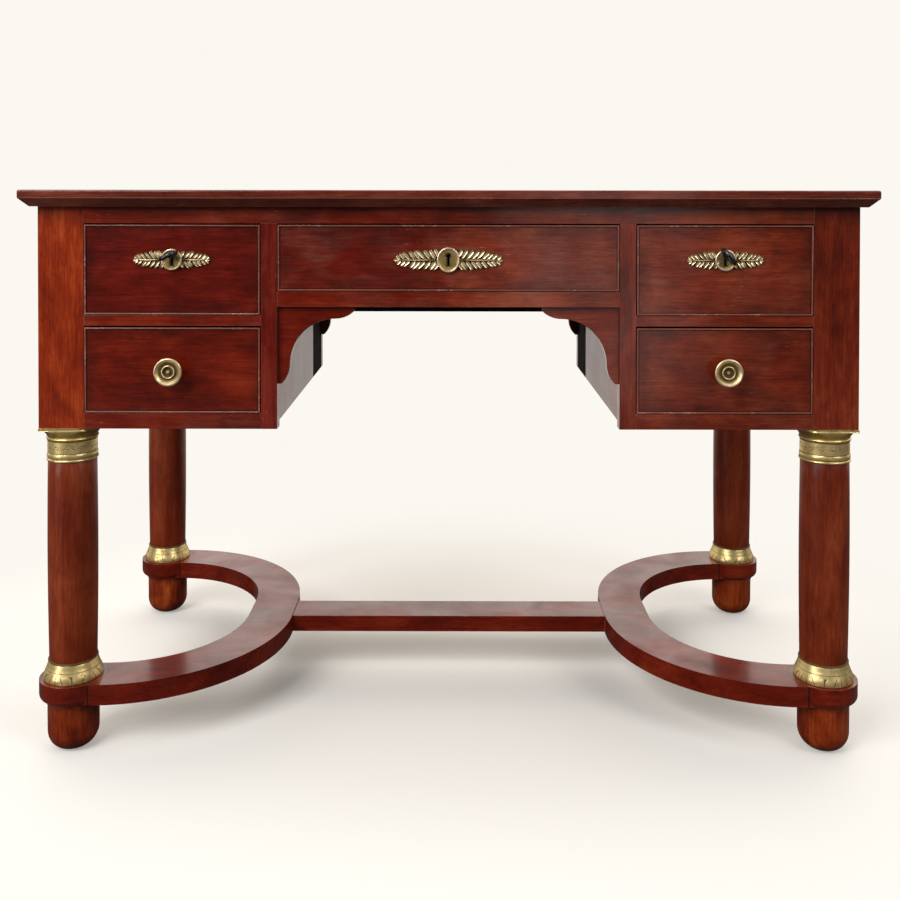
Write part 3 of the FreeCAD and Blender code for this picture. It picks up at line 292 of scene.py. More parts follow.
# %% Groups and materials
def new_group(name, inputs, outputs):
    """A node group and its sockets; an input has a default value, or None where it takes a place."""
    tree = bpy.data.node_groups.new(name, "ShaderNodeTree")
    for socket, value in inputs.items():
        kind = "NodeSocketVector" if value is None else "NodeSocketFloat"
        made = tree.interface.new_socket(name=socket, in_out="INPUT", socket_type=kind)
        if value is not None:
            made.default_value = value
    for socket in outputs:
        kind = "NodeSocketColor" if socket == "Colour" else "NodeSocketFloat"
        tree.interface.new_socket(name=socket, in_out="OUTPUT", socket_type=kind)
    return tree, tree.nodes.new("NodeGroupInput").outputs, tree.nodes.new("NodeGroupOutput").inputs


def use(tree, group, inputs):
    """Place a group in a material; returns its outputs."""
    return put(tree, "ShaderNodeGroup", inputs, node_tree=group).outputs


def new_material(name):
    """A material; returns it, its tree, its shader and its Object coordinates."""
    material = bpy.data.materials.new(name)
    material.use_nodes = True
    tree = material.node_tree
    shader = tree.nodes["Principled BSDF"]
    place = put(tree, "ShaderNodeTexCoord").outputs["Object"]
    return material, tree, shader, place


def feed(tree, sockets, **sources):
    """Give a shader's inputs or a group's outputs, named with underscores for spaces."""
    for socket, source in sources.items():
        give(tree, sockets[socket.replace("_", " ")], source)


def band(tree, value, low, high, edge=0.0006):
    """One inside a range, nothing outside."""
    return times(tree, remap(tree, value, low, low + edge), remap(tree, value, high, high - edge))


def about_leg(tree, place):
    """Place about the nearest column's axis: across, along and up."""
    across, along, up = split(tree, place)
    return minus(tree, absolute(tree, across), LEG_X), minus(tree, absolute(tree, along), LEG_Y), up


print("node helpers ready")

# %% [markdown]
# ## Floor, light and white sweep
# The desk stands on a pale studio floor that runs up into a warm white sweep. The room behind the
# photographer is dark, and that is why the polished fronts look deep red, while the tops of the
# stretchers and the kneehole's sides, which mirror the sweep, look grey. So the surroundings are white at
# the back and dim in front, and large soft lamps give the light. Near the desk the floor is plain paint
# that keeps the shadow; further out it fades into the sweep's own colour.

# %% Surroundings
SWEEP_WHITE = (0.965, 0.938, 0.88, 1)
ROOM_DARK = (0.030, 0.028, 0.027, 1)
HORIZON_GREY = (0.72, 0.67, 0.62, 1)
HIGH_WALL = (1.40, 1.31, 1.20, 1)
FLOOR_PAINT = (0.88, 0.85, 0.80, 1)
FLOOR_DARK = (0.07, 0.066, 0.062, 1)
world = bpy.data.worlds.new("studio")
world.use_nodes = True
bpy.context.scene.world = world
sky = world.node_tree
sky.nodes.clear()
direction = put(sky, "ShaderNodeTexCoord").outputs["Generated"]
_, backwards, upwards = split(sky, direction)
wall = blend(sky, remap(sky, upwards, 0.10, 0.42), HORIZON_GREY, HIGH_WALL)
surroundings = blend(sky, remap(sky, backwards, -0.15, 0.35), ROOM_DARK, wall)
seen = put(sky, "ShaderNodeLightPath").outputs["Is Camera Ray"]
sky_colour = blend(sky, seen, surroundings, SWEEP_WHITE)
glow = put(sky, "ShaderNodeBackground", {"Color": sky_colour, "Strength": 1.0})
put(sky, "ShaderNodeOutputWorld", {"Surface": glow.outputs[0]})

# %% Floor
bpy.ops.object.select_all(action="DESELECT")
bpy.ops.mesh.primitive_plane_add(size=60)
floor = bpy.context.object
floor.name = "studio_floor"
paint, tree, shader, place = new_material("studio_floor_paint")
feed(tree, shader.inputs, Base_Color=FLOOR_PAINT, Roughness=0.9, Specular_IOR_Level=0.1)
distance = length_of(tree, scaled(tree, place, (0.80, 1.0, 1.0)))
far_share = remap(tree, distance, 0.25, 0.92)
sweep = put(tree, "ShaderNodeEmission", {"Color": SWEEP_WHITE, "Strength": 1.0})
seen_floor = put(tree, "ShaderNodeMixShader", {0: far_share, 1: shader.outputs[0], 2: sweep.outputs[0]})
dark_floor = put(tree, "ShaderNodeBsdfDiffuse", {"Color": FLOOR_DARK})
pale_floor = put(tree, "ShaderNodeEmission", {"Color": HORIZON_GREY, "Strength": 1.0})
behind = remap(tree, split(tree, place)[1], 0.5, 1.6)
mirrored = put(tree, "ShaderNodeMixShader", {0: behind, 1: dark_floor.outputs[0], 2: pale_floor.outputs[0]})
camera_ray = put(tree, "ShaderNodeLightPath").outputs["Is Camera Ray"]
mixed = put(tree, "ShaderNodeMixShader", {0: camera_ray, 1: mirrored.outputs[0], 2: seen_floor.outputs[0]})
tree.links.new(mixed.outputs[0], tree.nodes["Material Output"].inputs["Surface"])
floor.data.materials.append(paint)
floor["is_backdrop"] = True


# %% Lamps
def soft_lamp(name, place, target, width, height, power):
    """A large soft lamp that faces a point on the desk."""
    data = bpy.data.lights.new(name, "AREA")
    data.shape = "RECTANGLE"
    data.size = width
    data.size_y = height
    data.energy = power
    lamp = bpy.data.objects.new(name, data)
    lamp.location = place
    lamp.rotation_euler = (Vector(target) - Vector(place)).to_track_quat("-Z", "Y").to_euler()
    bpy.context.scene.collection.objects.link(lamp)


soft_lamp("left_front_lamp", (-1.9, -2.4, 2.6), (0, 0, 0.45), 2.0, 1.6, 100)
soft_lamp("right_front_lamp", (2.2, -2.0, 2.2), (0, 0, 0.45), 1.4, 1.8, 40)
soft_lamp("overhead_lamp", (0, 0.1, 3.2), (0, 0, 0), 3.0, 2.4, 40)
soft_lamp("low_right_panel", (0.55, -2.7, 0.5), (0.55, 0, 0.5), 0.7, 1.2, 1.6)
soft_lamp("low_left_window", (-2.5, -1.95, 0.75), (-0.2, 0, 0.4), 0.8, 1.3, 16)
print("sweep, floor and lamps placed")

# %% [markdown]
# ## Mahogany
# Mahogany shows several things at once: cloudy figure, mottling, long streaks along the grain, short dark
# pores. One group makes them all from Object coordinates whose Z runs along the grain; each board turns
# the coordinates its own way with a Mapping node and shifts them, so that no two boards look the same. A
# second group gives the rubbed, slightly cloudy shellac polish, a third the pale bruises along edges, and
# a fourth the milky bloom, fine scratches and short pale nicks that old polish gets along the grain.

# %% Grain group
grain_group, given, result = new_group(
    "mahogany_grain", {"Place": None, "Figure": 0.8, "Streaks": 0.9}, ("Tone", "Pores", "Height"))
tree = grain_group
cloudy = grain_noise(tree, given["Place"], 0.6, 10, 4, 0.6, 0.9)
mottled = grain_noise(tree, given["Place"], 0.6, 30, 5, 0.65, 0.5)
streaky = grain_noise(tree, given["Place"], 0.09, 60, 4, 0.6, 0.6)
flecked = grain_noise(tree, given["Place"], 0.16, 250, 3, 0.65)
fine = grain_noise(tree, given["Place"], 0.03, 620, 2, 0.6)
dashes = grain_noise(tree, given["Place"], 0.045, 1300, 1, 0.5)
pores = remap(tree, dashes, 0.60, 0.72)
tone = 0.5
for layer, strength in ((cloudy, given["Figure"]), (mottled, 0.8), (streaky, given["Streaks"]),
                        (flecked, 0.6), (fine, 0.6)):
    tone = plus(tree, tone, times(tree, minus(tree, layer, 0.5), strength))
feed(tree, result, Tone=tone, Pores=pores, Height=minus(tree, times(tree, fine, 0.4), pores))

# %% Polish group
polish_group, given, result = new_group(
    "old_polish", {"Place": None, "Dullness": 0.3}, ("Roughness", "Coat", "Ripple"))
tree = polish_group
smears = noise(tree, given["Place"], 11, 5, 0.6, 0.4)
fine_rub = noise(tree, given["Place"], 160, 2, 0.5)
rough = plus(tree, given["Dullness"], times(tree, minus(tree, smears, 0.5), 0.30))
feed(tree, result, Roughness=plus(tree, rough, times(tree, fine_rub, 0.06)),
     Coat=remap(tree, smears, 0.25, 0.75, 1.0, 0.45), Ripple=noise(tree, given["Place"], 38, 2, 0.4))

# %% Bruise group
bruise_group, given, result = new_group("edge_bruises", {"Place": None, "Amount": 0.5}, ("Mask",))
tree = bruise_group
patches = noise(tree, given["Place"], 26, 4, 0.6)
specks = noise(tree, given["Place"], 240, 2, 0.6)
worn = times(tree, remap(tree, patches, 0.46, 0.62), remap(tree, specks, 0.42, 0.60))
feed(tree, result, Mask=times(tree, worn, given["Amount"]))

# %% Bloom group
bloom_group, given, result = new_group("polish_bloom", {"Place": None, "Amount": 0.3}, ("Mask",))
tree = bloom_group
clouds = noise(tree, given["Place"], 8, 4, 0.6, 0.8)
scratches = grain_noise(tree, given["Place"], 0.10, 190, 4, 0.7, 0.3)
milky = times(tree, remap(tree, clouds, 0.40, 0.66), remap(tree, scratches, 0.40, 0.68, 0.25, 1.0))
dashes = grain_noise(tree, given["Place"], 0.16, 500, 1, 0.5)
knocked = noise(tree, given["Place"], 15, 2, 0.5)
nicks = times(tree, remap(tree, dashes, 0.67, 0.75), remap(tree, knocked, 0.54, 0.64, 0.0, 0.45))
feed(tree, result, Mask=larger(tree, times(tree, milky, given["Amount"]), nicks))
print("wood groups:", grain_group.name, polish_group.name, bruise_group.name, bloom_group.name)

# %% [markdown]
# The recipe below makes one mahogany from three tones: deep, body and warm. A flat brush of dark in the
# pores, and a clear coat for the polish, do the rest. The same wood on an edge's own faces gets paler
# bruises of wear over an even pale share, which is a painted highlight along the edge.

# %% Mahogany recipe
ALONG = {"X": (0, math.pi / 2, 0), "Y": (math.pi / 2, 0, 0), "Z": (0, 0, 0)}
# Pale for bruises of wear and for the even painted highlight on edge faces.
WEAR_AND_HIGHLIGHT_PALE = (0.40, 0.215, 0.16, 1)
BLOOM_PALE = (0.34, 0.19, 0.13, 1)
# Dark for the painted shade under the top and round the drawer fronts, and for the joint lines at the pads.
SHADE_AND_JOINT_DARK = (0.010, 0.0035, 0.0025, 1)
TONE_STOPS = (0.10, 0.5, 0.92)
EDGE_HIGHLIGHT_SHARE = 0.30
PORE_SHARE = 0.5
wood = {}


def mahogany(name, grain, shift, tones, right_tones=None, figure=1.5, streaks=0.75, dull=0.30, wear_and_highlight=0.0,
             bloom=0.0, shade_and_joint=None, even_coat=None, coat_blur=0.13):
    """Keep a mahogany in deep, body and warm tones; the desk's right half may have tones of its own."""
    wood[name], tree, shader, place = new_material(f"{name}_mahogany")
    mapping = put(tree, "ShaderNodeMapping", {"Vector": place, "Location": shift, "Rotation": ALONG[grain]})
    turned = mapping.outputs[0]
    grain_out = use(tree, grain_group, {"Place": turned, "Figure": figure, "Streaks": streaks})
    polish = use(tree, polish_group, {"Place": place, "Dullness": dull})
    colour = ramp(tree, grain_out["Tone"], *zip(TONE_STOPS, tones))
    if right_tones:
        right_colour = ramp(tree, grain_out["Tone"], *zip(TONE_STOPS, right_tones))
        right_half = remap(tree, split(tree, place)[0], -0.1, 0.1)
        colour = blend(tree, right_half, colour, right_colour)
    pore_colour = tuple(part * 0.4 for part in tones[0])
    colour = blend(tree, times(tree, grain_out["Pores"], PORE_SHARE), colour, (*pore_colour, 1))
    if wear_and_highlight:
        mask = use(tree, bruise_group, {"Place": place, "Amount": wear_and_highlight})["Mask"]
        # An even share of the pale lies on every edge face as a painted highlight; the mask adds patches of
        # wear.
        colour = blend(tree, larger(tree, mask, wear_and_highlight * EDGE_HIGHLIGHT_SHARE), colour, WEAR_AND_HIGHLIGHT_PALE)
    if bloom:
        milky = use(tree, bloom_group, {"Place": turned, "Amount": bloom})["Mask"]
        colour = blend(tree, milky, colour, BLOOM_PALE)
    # The mask darkens the wood: painted shade under the top and round the drawer fronts, a dark joint line at
    # the pads.
    if shade_and_joint:
        colour = blend(tree, shade_and_joint(tree, place), colour, SHADE_AND_JOINT_DARK)
    height = plus(tree, times(tree, grain_out["Height"], 0.25), polish["Ripple"])
    bump = put(tree, "ShaderNodeBump", {"Strength": 0.10, "Distance": 0.0006, "Height": height})
    feed(tree, shader.inputs, Base_Color=colour, Roughness=polish["Roughness"], Normal=bump.outputs[0],
         Coat_Weight=even_coat or polish["Coat"], Coat_Roughness=coat_blur, Specular_IOR_Level=0.12)


print("mahogany recipe ready")

# %% [markdown]
# The boards of the real desk differ: the left post is the most orange, the drawer fronts are a deep wine
# red, the top is umber and the right half is browner. Each gets its own three tones; the kneehole's sides
# get paler tones than the outer sides, as painted light on these shaded inner faces. Painted shade darkens
# the wood under the top and round the drawer beads, and a dark line marks the open joint where the
# stretchers meet the pads. The kneehole's rear stiles and ceiling are a near-black matte wood: painted
# shade.

# %% Mahogany tones
WINE = ((0.046, 0.0026, 0.0013), (0.116, 0.0060, 0.0025), (0.205, 0.0170, 0.0080))
RUSSET = ((0.062, 0.0036, 0.0011), (0.146, 0.0086, 0.0020), (0.245, 0.0250, 0.0065))
BROWN = ((0.067, 0.0064, 0.0022), (0.157, 0.0170, 0.0048), (0.265, 0.0440, 0.0150))
UMBER = ((0.056, 0.0080, 0.0045), (0.128, 0.0205, 0.0105), (0.225, 0.0520, 0.0300))
AMBER = ((0.130, 0.0080, 0.0012), (0.262, 0.0245, 0.0032), (0.420, 0.0640, 0.0120))
CHESTNUT = ((0.100, 0.0100, 0.0026), (0.182, 0.0240, 0.0060), (0.285, 0.0520, 0.0160))
FOOT_BROWN = ((0.110, 0.0080, 0.0012), (0.280, 0.0350, 0.0050), (0.500, 0.1000, 0.0200))
# Paler than the outer sides' tones: painted light on the shaded kneehole sides.
KNEEHOLE_PAINTED_LIGHT = ((0.090, 0.0095, 0.0038), (0.220, 0.0250, 0.0100), (0.370, 0.0580, 0.0260))
PAD_RADIUS = -LEG_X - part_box("stretcher_curve_left")[0].x


# %% Painted shade and joint lines
def framed(node):
    """Painted shade on a drawer front: a dark line beside the bead and a faint dark border towards its edges.
    """
    low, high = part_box(node)

    def mask(tree, place):
        along, _, up = split(tree, place)
        from_ends = smaller(tree, minus(tree, along, low.x), minus(tree, high.x, along))
        from_rails = smaller(tree, minus(tree, up, low.z), minus(tree, high.z, up))
        inwards = smaller(tree, from_ends, from_rails)
        line = times(tree, band(tree, inwards, 0.0021, 0.0040), 0.8)
        border = remap(tree, inwards, 0.030, 0.003, 0.0, 0.5)
        patchy = remap(tree, noise(tree, place, 24, 3), 0.35, 0.65, 0.25, 1.0)
        return larger(tree, line, times(tree, border, patchy))
    return mask


def shade_under_top(tree, place):
    """Painted shade under the overhanging top, darker towards the top."""
    up = split(tree, place)[2]
    patchy = remap(tree, noise(tree, place, 14, 3), 0.35, 0.65, 0.45, 1.0)
    return times(tree, remap(tree, up, 0.712, 0.748, 0.0, 0.62), patchy)


def pad_seam(tree, place):
    """The open joint where a stretcher meets the round pad under a column."""
    across, along, _ = about_leg(tree, place)
    radius = length_of(tree, put(tree, "ShaderNodeCombineXYZ", {0: across, 1: along}).outputs[0])
    return times(tree, band(tree, radius, PAD_RADIUS + 0.0004, PAD_RADIUS + 0.0026), 0.85)


# %% Mahogany boards
mahogany("top", "X", (0.3, 0.1, 0.2), UMBER, dull=0.26)
mahogany("top_edge", "X", (0.3, 0.1, 0.2), UMBER, wear_and_highlight=0.8, bloom=0.25)
mahogany("post", "Z", (0.7, 0.2, 0.1), AMBER, BROWN, figure=1.6, shade_and_joint=shade_under_top)
mahogany("post_edge", "Z", (0.7, 0.2, 0.1), AMBER, BROWN, figure=1.6, wear_and_highlight=0.2)
mahogany("rail", "X", (0.1, 0.6, 0.4), RUSSET, BROWN, bloom=0.14, shade_and_joint=shade_under_top)
mahogany("rail_edge", "X", (0.1, 0.6, 0.4), RUSSET, BROWN, wear_and_highlight=0.4)
mahogany("stile", "Z", (0.2, 0.9, 0.3), WINE, BROWN, bloom=0.06)
mahogany("stile_edge", "Z", (0.2, 0.9, 0.3), WINE, BROWN, wear_and_highlight=0.4)
mahogany("side", "Z", (0.5, 0.4, 0.8), RUSSET)
# The kneehole sides take paler tones than the outer sides, as painted light.
mahogany("kneehole_side", "Y", (0.5, 0.4, 0.8), KNEEHOLE_PAINTED_LIGHT, dull=0.34, even_coat=0.53)
mahogany("back", "X", (0.9, 0.1, 0.5), BROWN)
mahogany("bracket", "X", (0.4, 0.3, 0.9), RUSSET, BROWN)
mahogany("column", "Z", (0.3, 0.7, 0.6), CHESTNUT, figure=1.2, streaks=0.9, even_coat=0.35, coat_blur=0.34)
mahogany("foot", "Z", (0.8, 0.3, 0.2), FOOT_BROWN, figure=1.8, streaks=1.0, dull=0.42)
mahogany("stretcher", "X", (0.6, 0.5, 0.1), RUSSET, dull=0.28, shade_and_joint=pad_seam)
mahogany("stretcher_edge", "X", (0.6, 0.5, 0.1), RUSSET, wear_and_highlight=0.8, shade_and_joint=pad_seam)
for drawer, shift, tones, right_tones, bloom in (
        ("upper_left", (0.15, 0.35, 0.55), WINE, None, 0.0),
        ("lower_left", (0.45, 0.15, 0.25), RUSSET, None, 0.0),
        ("centre", (0.85, 0.65, 0.05), WINE, BROWN, 0.18),
        ("upper_right", (0.25, 0.95, 0.75), BROWN, None, 0.10),
        ("lower_right", (0.55, 0.75, 0.35), BROWN, None, 0.12)):
    mahogany(f"{drawer}_front", "X", shift, tones, right_tones, figure=1.3, streaks=0.55, bloom=bloom,
             shade_and_joint=framed(f"{drawer}_drawer_front"))
# Paler wood for the bead's crest: patches of wear over an even pale share, a painted highlight that makes it
# glint.
mahogany("bead_crest_highlight_and_wear", "X", (0.2, 0.4, 0.6), BROWN, wear_and_highlight=0.75)
wood["bracket_edge"] = wood["rail_edge"]

# %% Painted shade wood
# Near-black, matte wood painted as shade, for the kneehole's rear stiles and ceiling and the keyholes' walls;
# the noise only mottles it.
wood["shade"], tree, shader, place = new_material("painted_shade_dark_wood")
dust = noise(tree, place, 30, 3)
painted_shade_colour = ramp(tree, dust, (0.3, (0.006, 0.0030, 0.0024)), (0.7, (0.016, 0.0080, 0.0062)))
shade_roughness = remap(tree, dust, 0.3, 0.7, 0.80, 0.95)
feed(tree, shader.inputs, Base_Color=painted_shade_colour, Roughness=shade_roughness, Specular_IOR_Level=0.05)
print("mahoganies:", len(wood))

# %% [markdown]
# ## Oak, brass, leather, steel and iron
# The drawer linings are bare oak, paler and without polish. Brass was gilt once: it is bright where hands
# and cloths reach and brown in the hollows. On the leaf mounts a hollow is simply what lies close to the
# drawer front, so the depth along Y tells bright from brown. On the collars the height tells where a
# moulding is hollow, and where the base ring's top bead meets its column, which is darkened as painted
# shade. The engraving runs round the leg: one folded coordinate serves all four because they stand in
# mirror places.

# %% Oak
def oak(name, grain):
    material, tree, shader, place = new_material(name)
    turned = put(tree, "ShaderNodeMapping", {"Vector": place, "Rotation": ALONG[grain]}).outputs[0]
    grain_out = use(tree, grain_group, {"Place": turned, "Figure": 0.5, "Streaks": 1.0})
    colour = ramp(tree, grain_out["Tone"], (0.15, (0.20, 0.105, 0.042)), (0.5, (0.34, 0.20, 0.088)),
                  (0.85, (0.47, 0.30, 0.145)))
    colour = blend(tree, times(tree, grain_out["Pores"], PORE_SHARE), colour, (0.12, 0.06, 0.025, 1))
    bump = put(tree, "ShaderNodeBump", {"Strength": 0.25, "Distance": 0.0006, "Height": grain_out["Height"]})
    rough = remap(tree, grain_out["Tone"], 0.2, 0.8, 0.72, 0.55)
    feed(tree, shader.inputs, Base_Color=colour, Roughness=rough, Normal=bump.outputs[0])
    return material


oak_long = oak("oak_along_desk", "X")
oak_deep = oak("oak_front_to_back", "Y")
print("oak ready")

# %% Tarnish group
ENGRAVING_DEPTH = 0.0003
TARNISH_DEPTH = 0.0001
CHAMPAGNE = (0.88, 0.70, 0.51, 1)
tarnish_group, given, result = new_group(
    "brass_tarnish", {"Place": None, "Bright": 1.0, "Pale": 0.0}, ("Colour", "Roughness", "Metal", "Height"))
tree = tarnish_group
stains = noise(tree, given["Place"], 95, 5, 0.65, 0.5)
grit = noise(tree, given["Place"], 900, 2, 0.6)
clean = times(tree, given["Bright"], remap(tree, stains, 0.22, 0.55, 0.60, 1.0))
golden = ramp(tree, clean, (0.0, (0.028, 0.016, 0.005)), (0.35, (0.17, 0.112, 0.034)),
              (0.7, (0.52, 0.375, 0.110)), (1.0, (0.92, 0.700, 0.280)))
pale_share = times(tree, remap(tree, clean, 0.45, 1.0), given["Pale"])
worn_smooth = remap(tree, clean, 0.1, 1.0, 0.58, 0.30)
rough = plus(tree, worn_smooth, times(tree, grit, 0.08))
metal = remap(tree, clean, 0.1, 1.0, 0.50, 0.80)
height = plus(tree, stains, times(tree, grit, 0.35))
colour = blend(tree, pale_share, golden, CHAMPAGNE)
feed(tree, result, Colour=colour, Roughness=rough, Metal=metal, Height=height)


# %% Brass recipe
def brass(name, bright_mask, pale, engraving=None):
    """Brass whose brightness comes from a mask that the piece works out from its own place."""
    material, tree, shader, place = new_material(name)
    bright = bright_mask(tree, place)
    if engraving:
        cuts = engraving(tree, place)
        bright = times(tree, bright, remap(tree, cuts, 0.0, 1.0, 1.0, 0.22))
    tarnish = use(tree, tarnish_group, {"Place": place, "Bright": bright, "Pale": pale})
    height = times(tree, tarnish["Height"], TARNISH_DEPTH)
    if engraving:
        height = minus(tree, height, times(tree, cuts, ENGRAVING_DEPTH))
    bump = put(tree, "ShaderNodeBump", {"Strength": 1.0, "Distance": 1.0, "Height": height})
    feed(tree, shader.inputs, Base_Color=tarnish["Colour"], Roughness=tarnish["Roughness"],
         Metallic=tarnish["Metal"], Normal=bump.outputs[0])
    return material


def by_depth(low, high, to_low, to_high):
    """Brightness by how far a place stands out from the drawer front."""
    def brightness(tree, place):
        depth = split(tree, place)[1]
        return remap(tree, depth, FRONT_FACE - low, FRONT_FACE - high, to_low, to_high)
    return brightness


# %% Brasses
RING_BEAD_LOW = 0.1212
NECK_LOW = 0.3990
FRIEZE_MIDDLE, FRIEZE_HALF = 0.4185, 0.0034
FRIEZE_RADIUS = 0.033
RING_LEAF_LOW, RING_LEAF_HIGH = 0.0980, 0.1085
RING_LINE_LOW, RING_LINE_HIGH = 0.1115, 0.1122
# The first band, from the base ring's top bead up, is painted shade where ring meets column; the rest are the
# mouldings' tarnished hollows.
COLLAR_HOLLOWS_AND_SHADE = ((RING_BEAD_LOW, NECK_LOW - 0.1, 0.26), (0.4025, 0.4041, 0.40), (0.4097, 0.4112, 0.40),
                  (0.4263, 0.4283, 0.40), (0.4317, 0.4420, 0.62))


def collar_brightness(tree, place):
    """Bright, but for the mouldings' hollows and for the base ring's top bead where it meets its column,
    darkened as painted shade.
    """
    up = split(tree, place)[2]
    bright = 0.96
    for low, high, level in COLLAR_HOLLOWS_AND_SHADE:
        bright = times(tree, bright, remap(tree, band(tree, up, low, high), 0.0, 1.0, 1.0, level))
    return bright


def collar_engraving(tree, place):
    """A worn leaf band round the capital's neck, fanned veins and one line on the base ring."""
    across, along, up = about_leg(tree, place)
    angle = arctan2(tree, along, across)
    around = put(tree, "ShaderNodeCombineXYZ", {0: times(tree, angle, FRIEZE_RADIUS), 1: up}).outputs[0]
    worn_leaves = remap(tree, noise(tree, around, 480, 2, 0.5), 0.54, 0.64)
    frieze_band = band(tree, up, FRIEZE_MIDDLE - FRIEZE_HALF, FRIEZE_MIDDLE + FRIEZE_HALF, 0.0012)
    frieze = times(tree, worn_leaves, frieze_band)
    fan = times(tree, sine(tree, times(tree, angle, 5.0)), 2.2)
    rise = times(tree, minus(tree, up, RING_LEAF_LOW), 160.0)
    veins = sine(tree, plus(tree, times(tree, angle, 21.0), times(tree, fan, rise)))
    leaf_band = band(tree, up, RING_LEAF_LOW, RING_LEAF_HIGH)
    leaves = times(tree, remap(tree, veins, 0.90, 0.99, 0.0, 0.8), leaf_band)
    ring_line = band(tree, up, RING_LINE_LOW, RING_LINE_HIGH, 0.0003)
    return larger(tree, frieze, larger(tree, leaves, ring_line))


leaf_brass = brass("leaf_mount_brass", by_depth(0.0013, 0.0027, 0.10, 0.92), 0.90)
knob_brass = brass("knob_brass", by_depth(0.0205, 0.0242, 0.22, 1.0), 0.6)
collar_brass = brass("collar_brass", collar_brightness, 0.15, collar_engraving)
print("brasses ready")

# %% [markdown]
# Nobody can see the writing surface in the picture. Desks of this kind have a dark hide let into the top
# with a gilt line tooled round it, so that is what it gets. The lines are drawn by the distance from the
# hide's edges.

# %% Leather, steel and iron
hide_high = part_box("writing_leather")[1]
GILT = (0.62, 0.43, 0.16, 1)
leather, tree, shader, place = new_material("tooled_leather")
along, across, _ = split(tree, place)
from_end = minus(tree, hide_high.x, absolute(tree, along))
from_side = minus(tree, hide_high.y, absolute(tree, across))
inwards = smaller(tree, from_end, from_side)
gilding = 0.0
for line_place, line_half in ((0.010, 0.0012), (0.016, 0.0005), (0.034, 0.0005)):
    off_line = absolute(tree, minus(tree, inwards, line_place))
    line = remap(tree, off_line, line_half * 1.3, line_half * 0.7)
    gilding = larger(tree, gilding, line)
rubbed = remap(tree, noise(tree, place, 55, 4, 0.6), 0.36, 0.52)
gilding = times(tree, gilding, rubbed)
pebbles = put(tree, "ShaderNodeTexVoronoi", {"Vector": place, "Scale": 950.0}).outputs["Distance"]
wear = noise(tree, place, 7, 5, 0.6)
hide_colour = ramp(tree, wear, (0.3, (0.016, 0.012, 0.007)), (0.55, (0.030, 0.020, 0.011)),
                   (0.75, (0.060, 0.036, 0.018)))
hide_bump = put(tree, "ShaderNodeBump", {"Strength": 0.35, "Distance": 0.0004, "Height": pebbles})
feed(tree, shader.inputs, Base_Color=blend(tree, gilding, hide_colour, GILT), Metallic=gilding,
     Roughness=remap(tree, wear, 0.3, 0.7, 0.42, 0.58), Normal=hide_bump.outputs[0])


def old_metal(name, dark, bright, rough):
    """Dark handled metal with rubbed, brighter patches."""
    material, tree, shader, place = new_material(name)
    patches = noise(tree, place, 260, 4, 0.6)
    pits = noise(tree, place, 1400, 2)
    bump = put(tree, "ShaderNodeBump", {"Strength": 0.3, "Distance": 0.0003, "Height": pits})
    feed(tree, shader.inputs, Base_Color=ramp(tree, patches, (0.40, dark), (0.72, bright)),
         Roughness=remap(tree, patches, 0.3, 0.7, rough + 0.12, rough - 0.08), Normal=bump.outputs[0],
         Metallic=1.0)
    return material


key_steel = old_metal("key_steel", (0.030, 0.030, 0.034), (0.20, 0.20, 0.215), 0.34)
lock_iron = old_metal("lock_iron", (0.045, 0.040, 0.036), (0.16, 0.14, 0.12), 0.55)
print("leather, steel and iron ready")

# %% [markdown]
# ## Boards
# A planed board never has a knife-sharp edge: hands, dusters and polish round it, and the rounded edge
# catches the light as a fine line. So each CAD board is copied, its loose triangles are merged back into
# whole faces, and a bevel eases its edges. The bevel's own faces take the second finish, the one with
# bruises and a painted highlight.

# %% Eased boards
FLAT_ANGLE = math.radians(1)
TOP_EASE, BOARD_EASE, HIDE_EASE = 0.0011, 0.0007, 0.0004


def eased(node, finish, slot="mahogany", ease=BOARD_EASE, smooth_angle=35):
    """A copy of a CAD board with eased edges."""
    copy = cad_copy(node, node + "_eased")
    bpy.ops.mesh.dissolve_limited(angle_limit=FLAT_ANGLE)
    leave_edit()
    bevel = copy.modifiers.new("ease", "BEVEL")
    bevel.width = ease
    bevel.segments = 2
    bevel.limit_method = "ANGLE"
    bevel.angle_limit = math.radians(40)
    bevel.material = 1 if isinstance(finish, tuple) else -1
    dress(copy, body_of_node[node], slot, finish, node)
    only(copy)
    bpy.ops.object.modifier_apply(modifier="ease")
    bpy.ops.object.shade_smooth_by_angle(angle=math.radians(smooth_angle))
    even = copy.modifiers.new("even", "WEIGHTED_NORMAL")
    even.keep_sharp = True
    even.weight = 100
    bpy.ops.object.modifier_apply(modifier="even")
    return copy


# The kneehole's rear stiles and ceiling take the near-black painted shade wood.
boards = {
    "top_board": "top", "corner_posts": "post", "front_top_rail": "rail", "front_stiles": "stile",
    "kneehole_rail": "rail", "divider_rails": "rail", "bottom_rails": "rail", "side_panels": "side",
    "kneehole_sides": "kneehole_side", "kneehole_rear_stiles": "shade", "back_panels": "back",
    "back_apron": "back", "kneehole_ceiling": "shade", "kneehole_brackets": "bracket",
    "stretcher_curve_left": "stretcher", "stretcher_curve_right": "stretcher", "stretcher_bar": "stretcher",
}
for node, name in boards.items():
    finish = (wood[name], wood[f"{name}_edge"]) if f"{name}_edge" in wood else wood[name]
    eased(node, finish, ease=TOP_EASE if node == "top_board" else BOARD_EASE)
oak_boards = ("pedestal_floors", "dust_boards", "drawer_guides")
for node in oak_boards:
    eased(node, oak_deep, "oak")
eased("writing_leather", leather, "leather", ease=HIDE_EASE)
print("eased boards:", len(boards) + len(oak_boards) + 1)

# %% [markdown]
# ## Drawers
# Five drawers: mahogany fronts with a thin raised bead, and oak linings joined by dovetails. The fronts
# keep the bead that the CAD gives them, very slightly eased; its crest gets paler wood with wear, a painted
# highlight that makes it glint, and the walls of the keyhole a near-black painted shade.

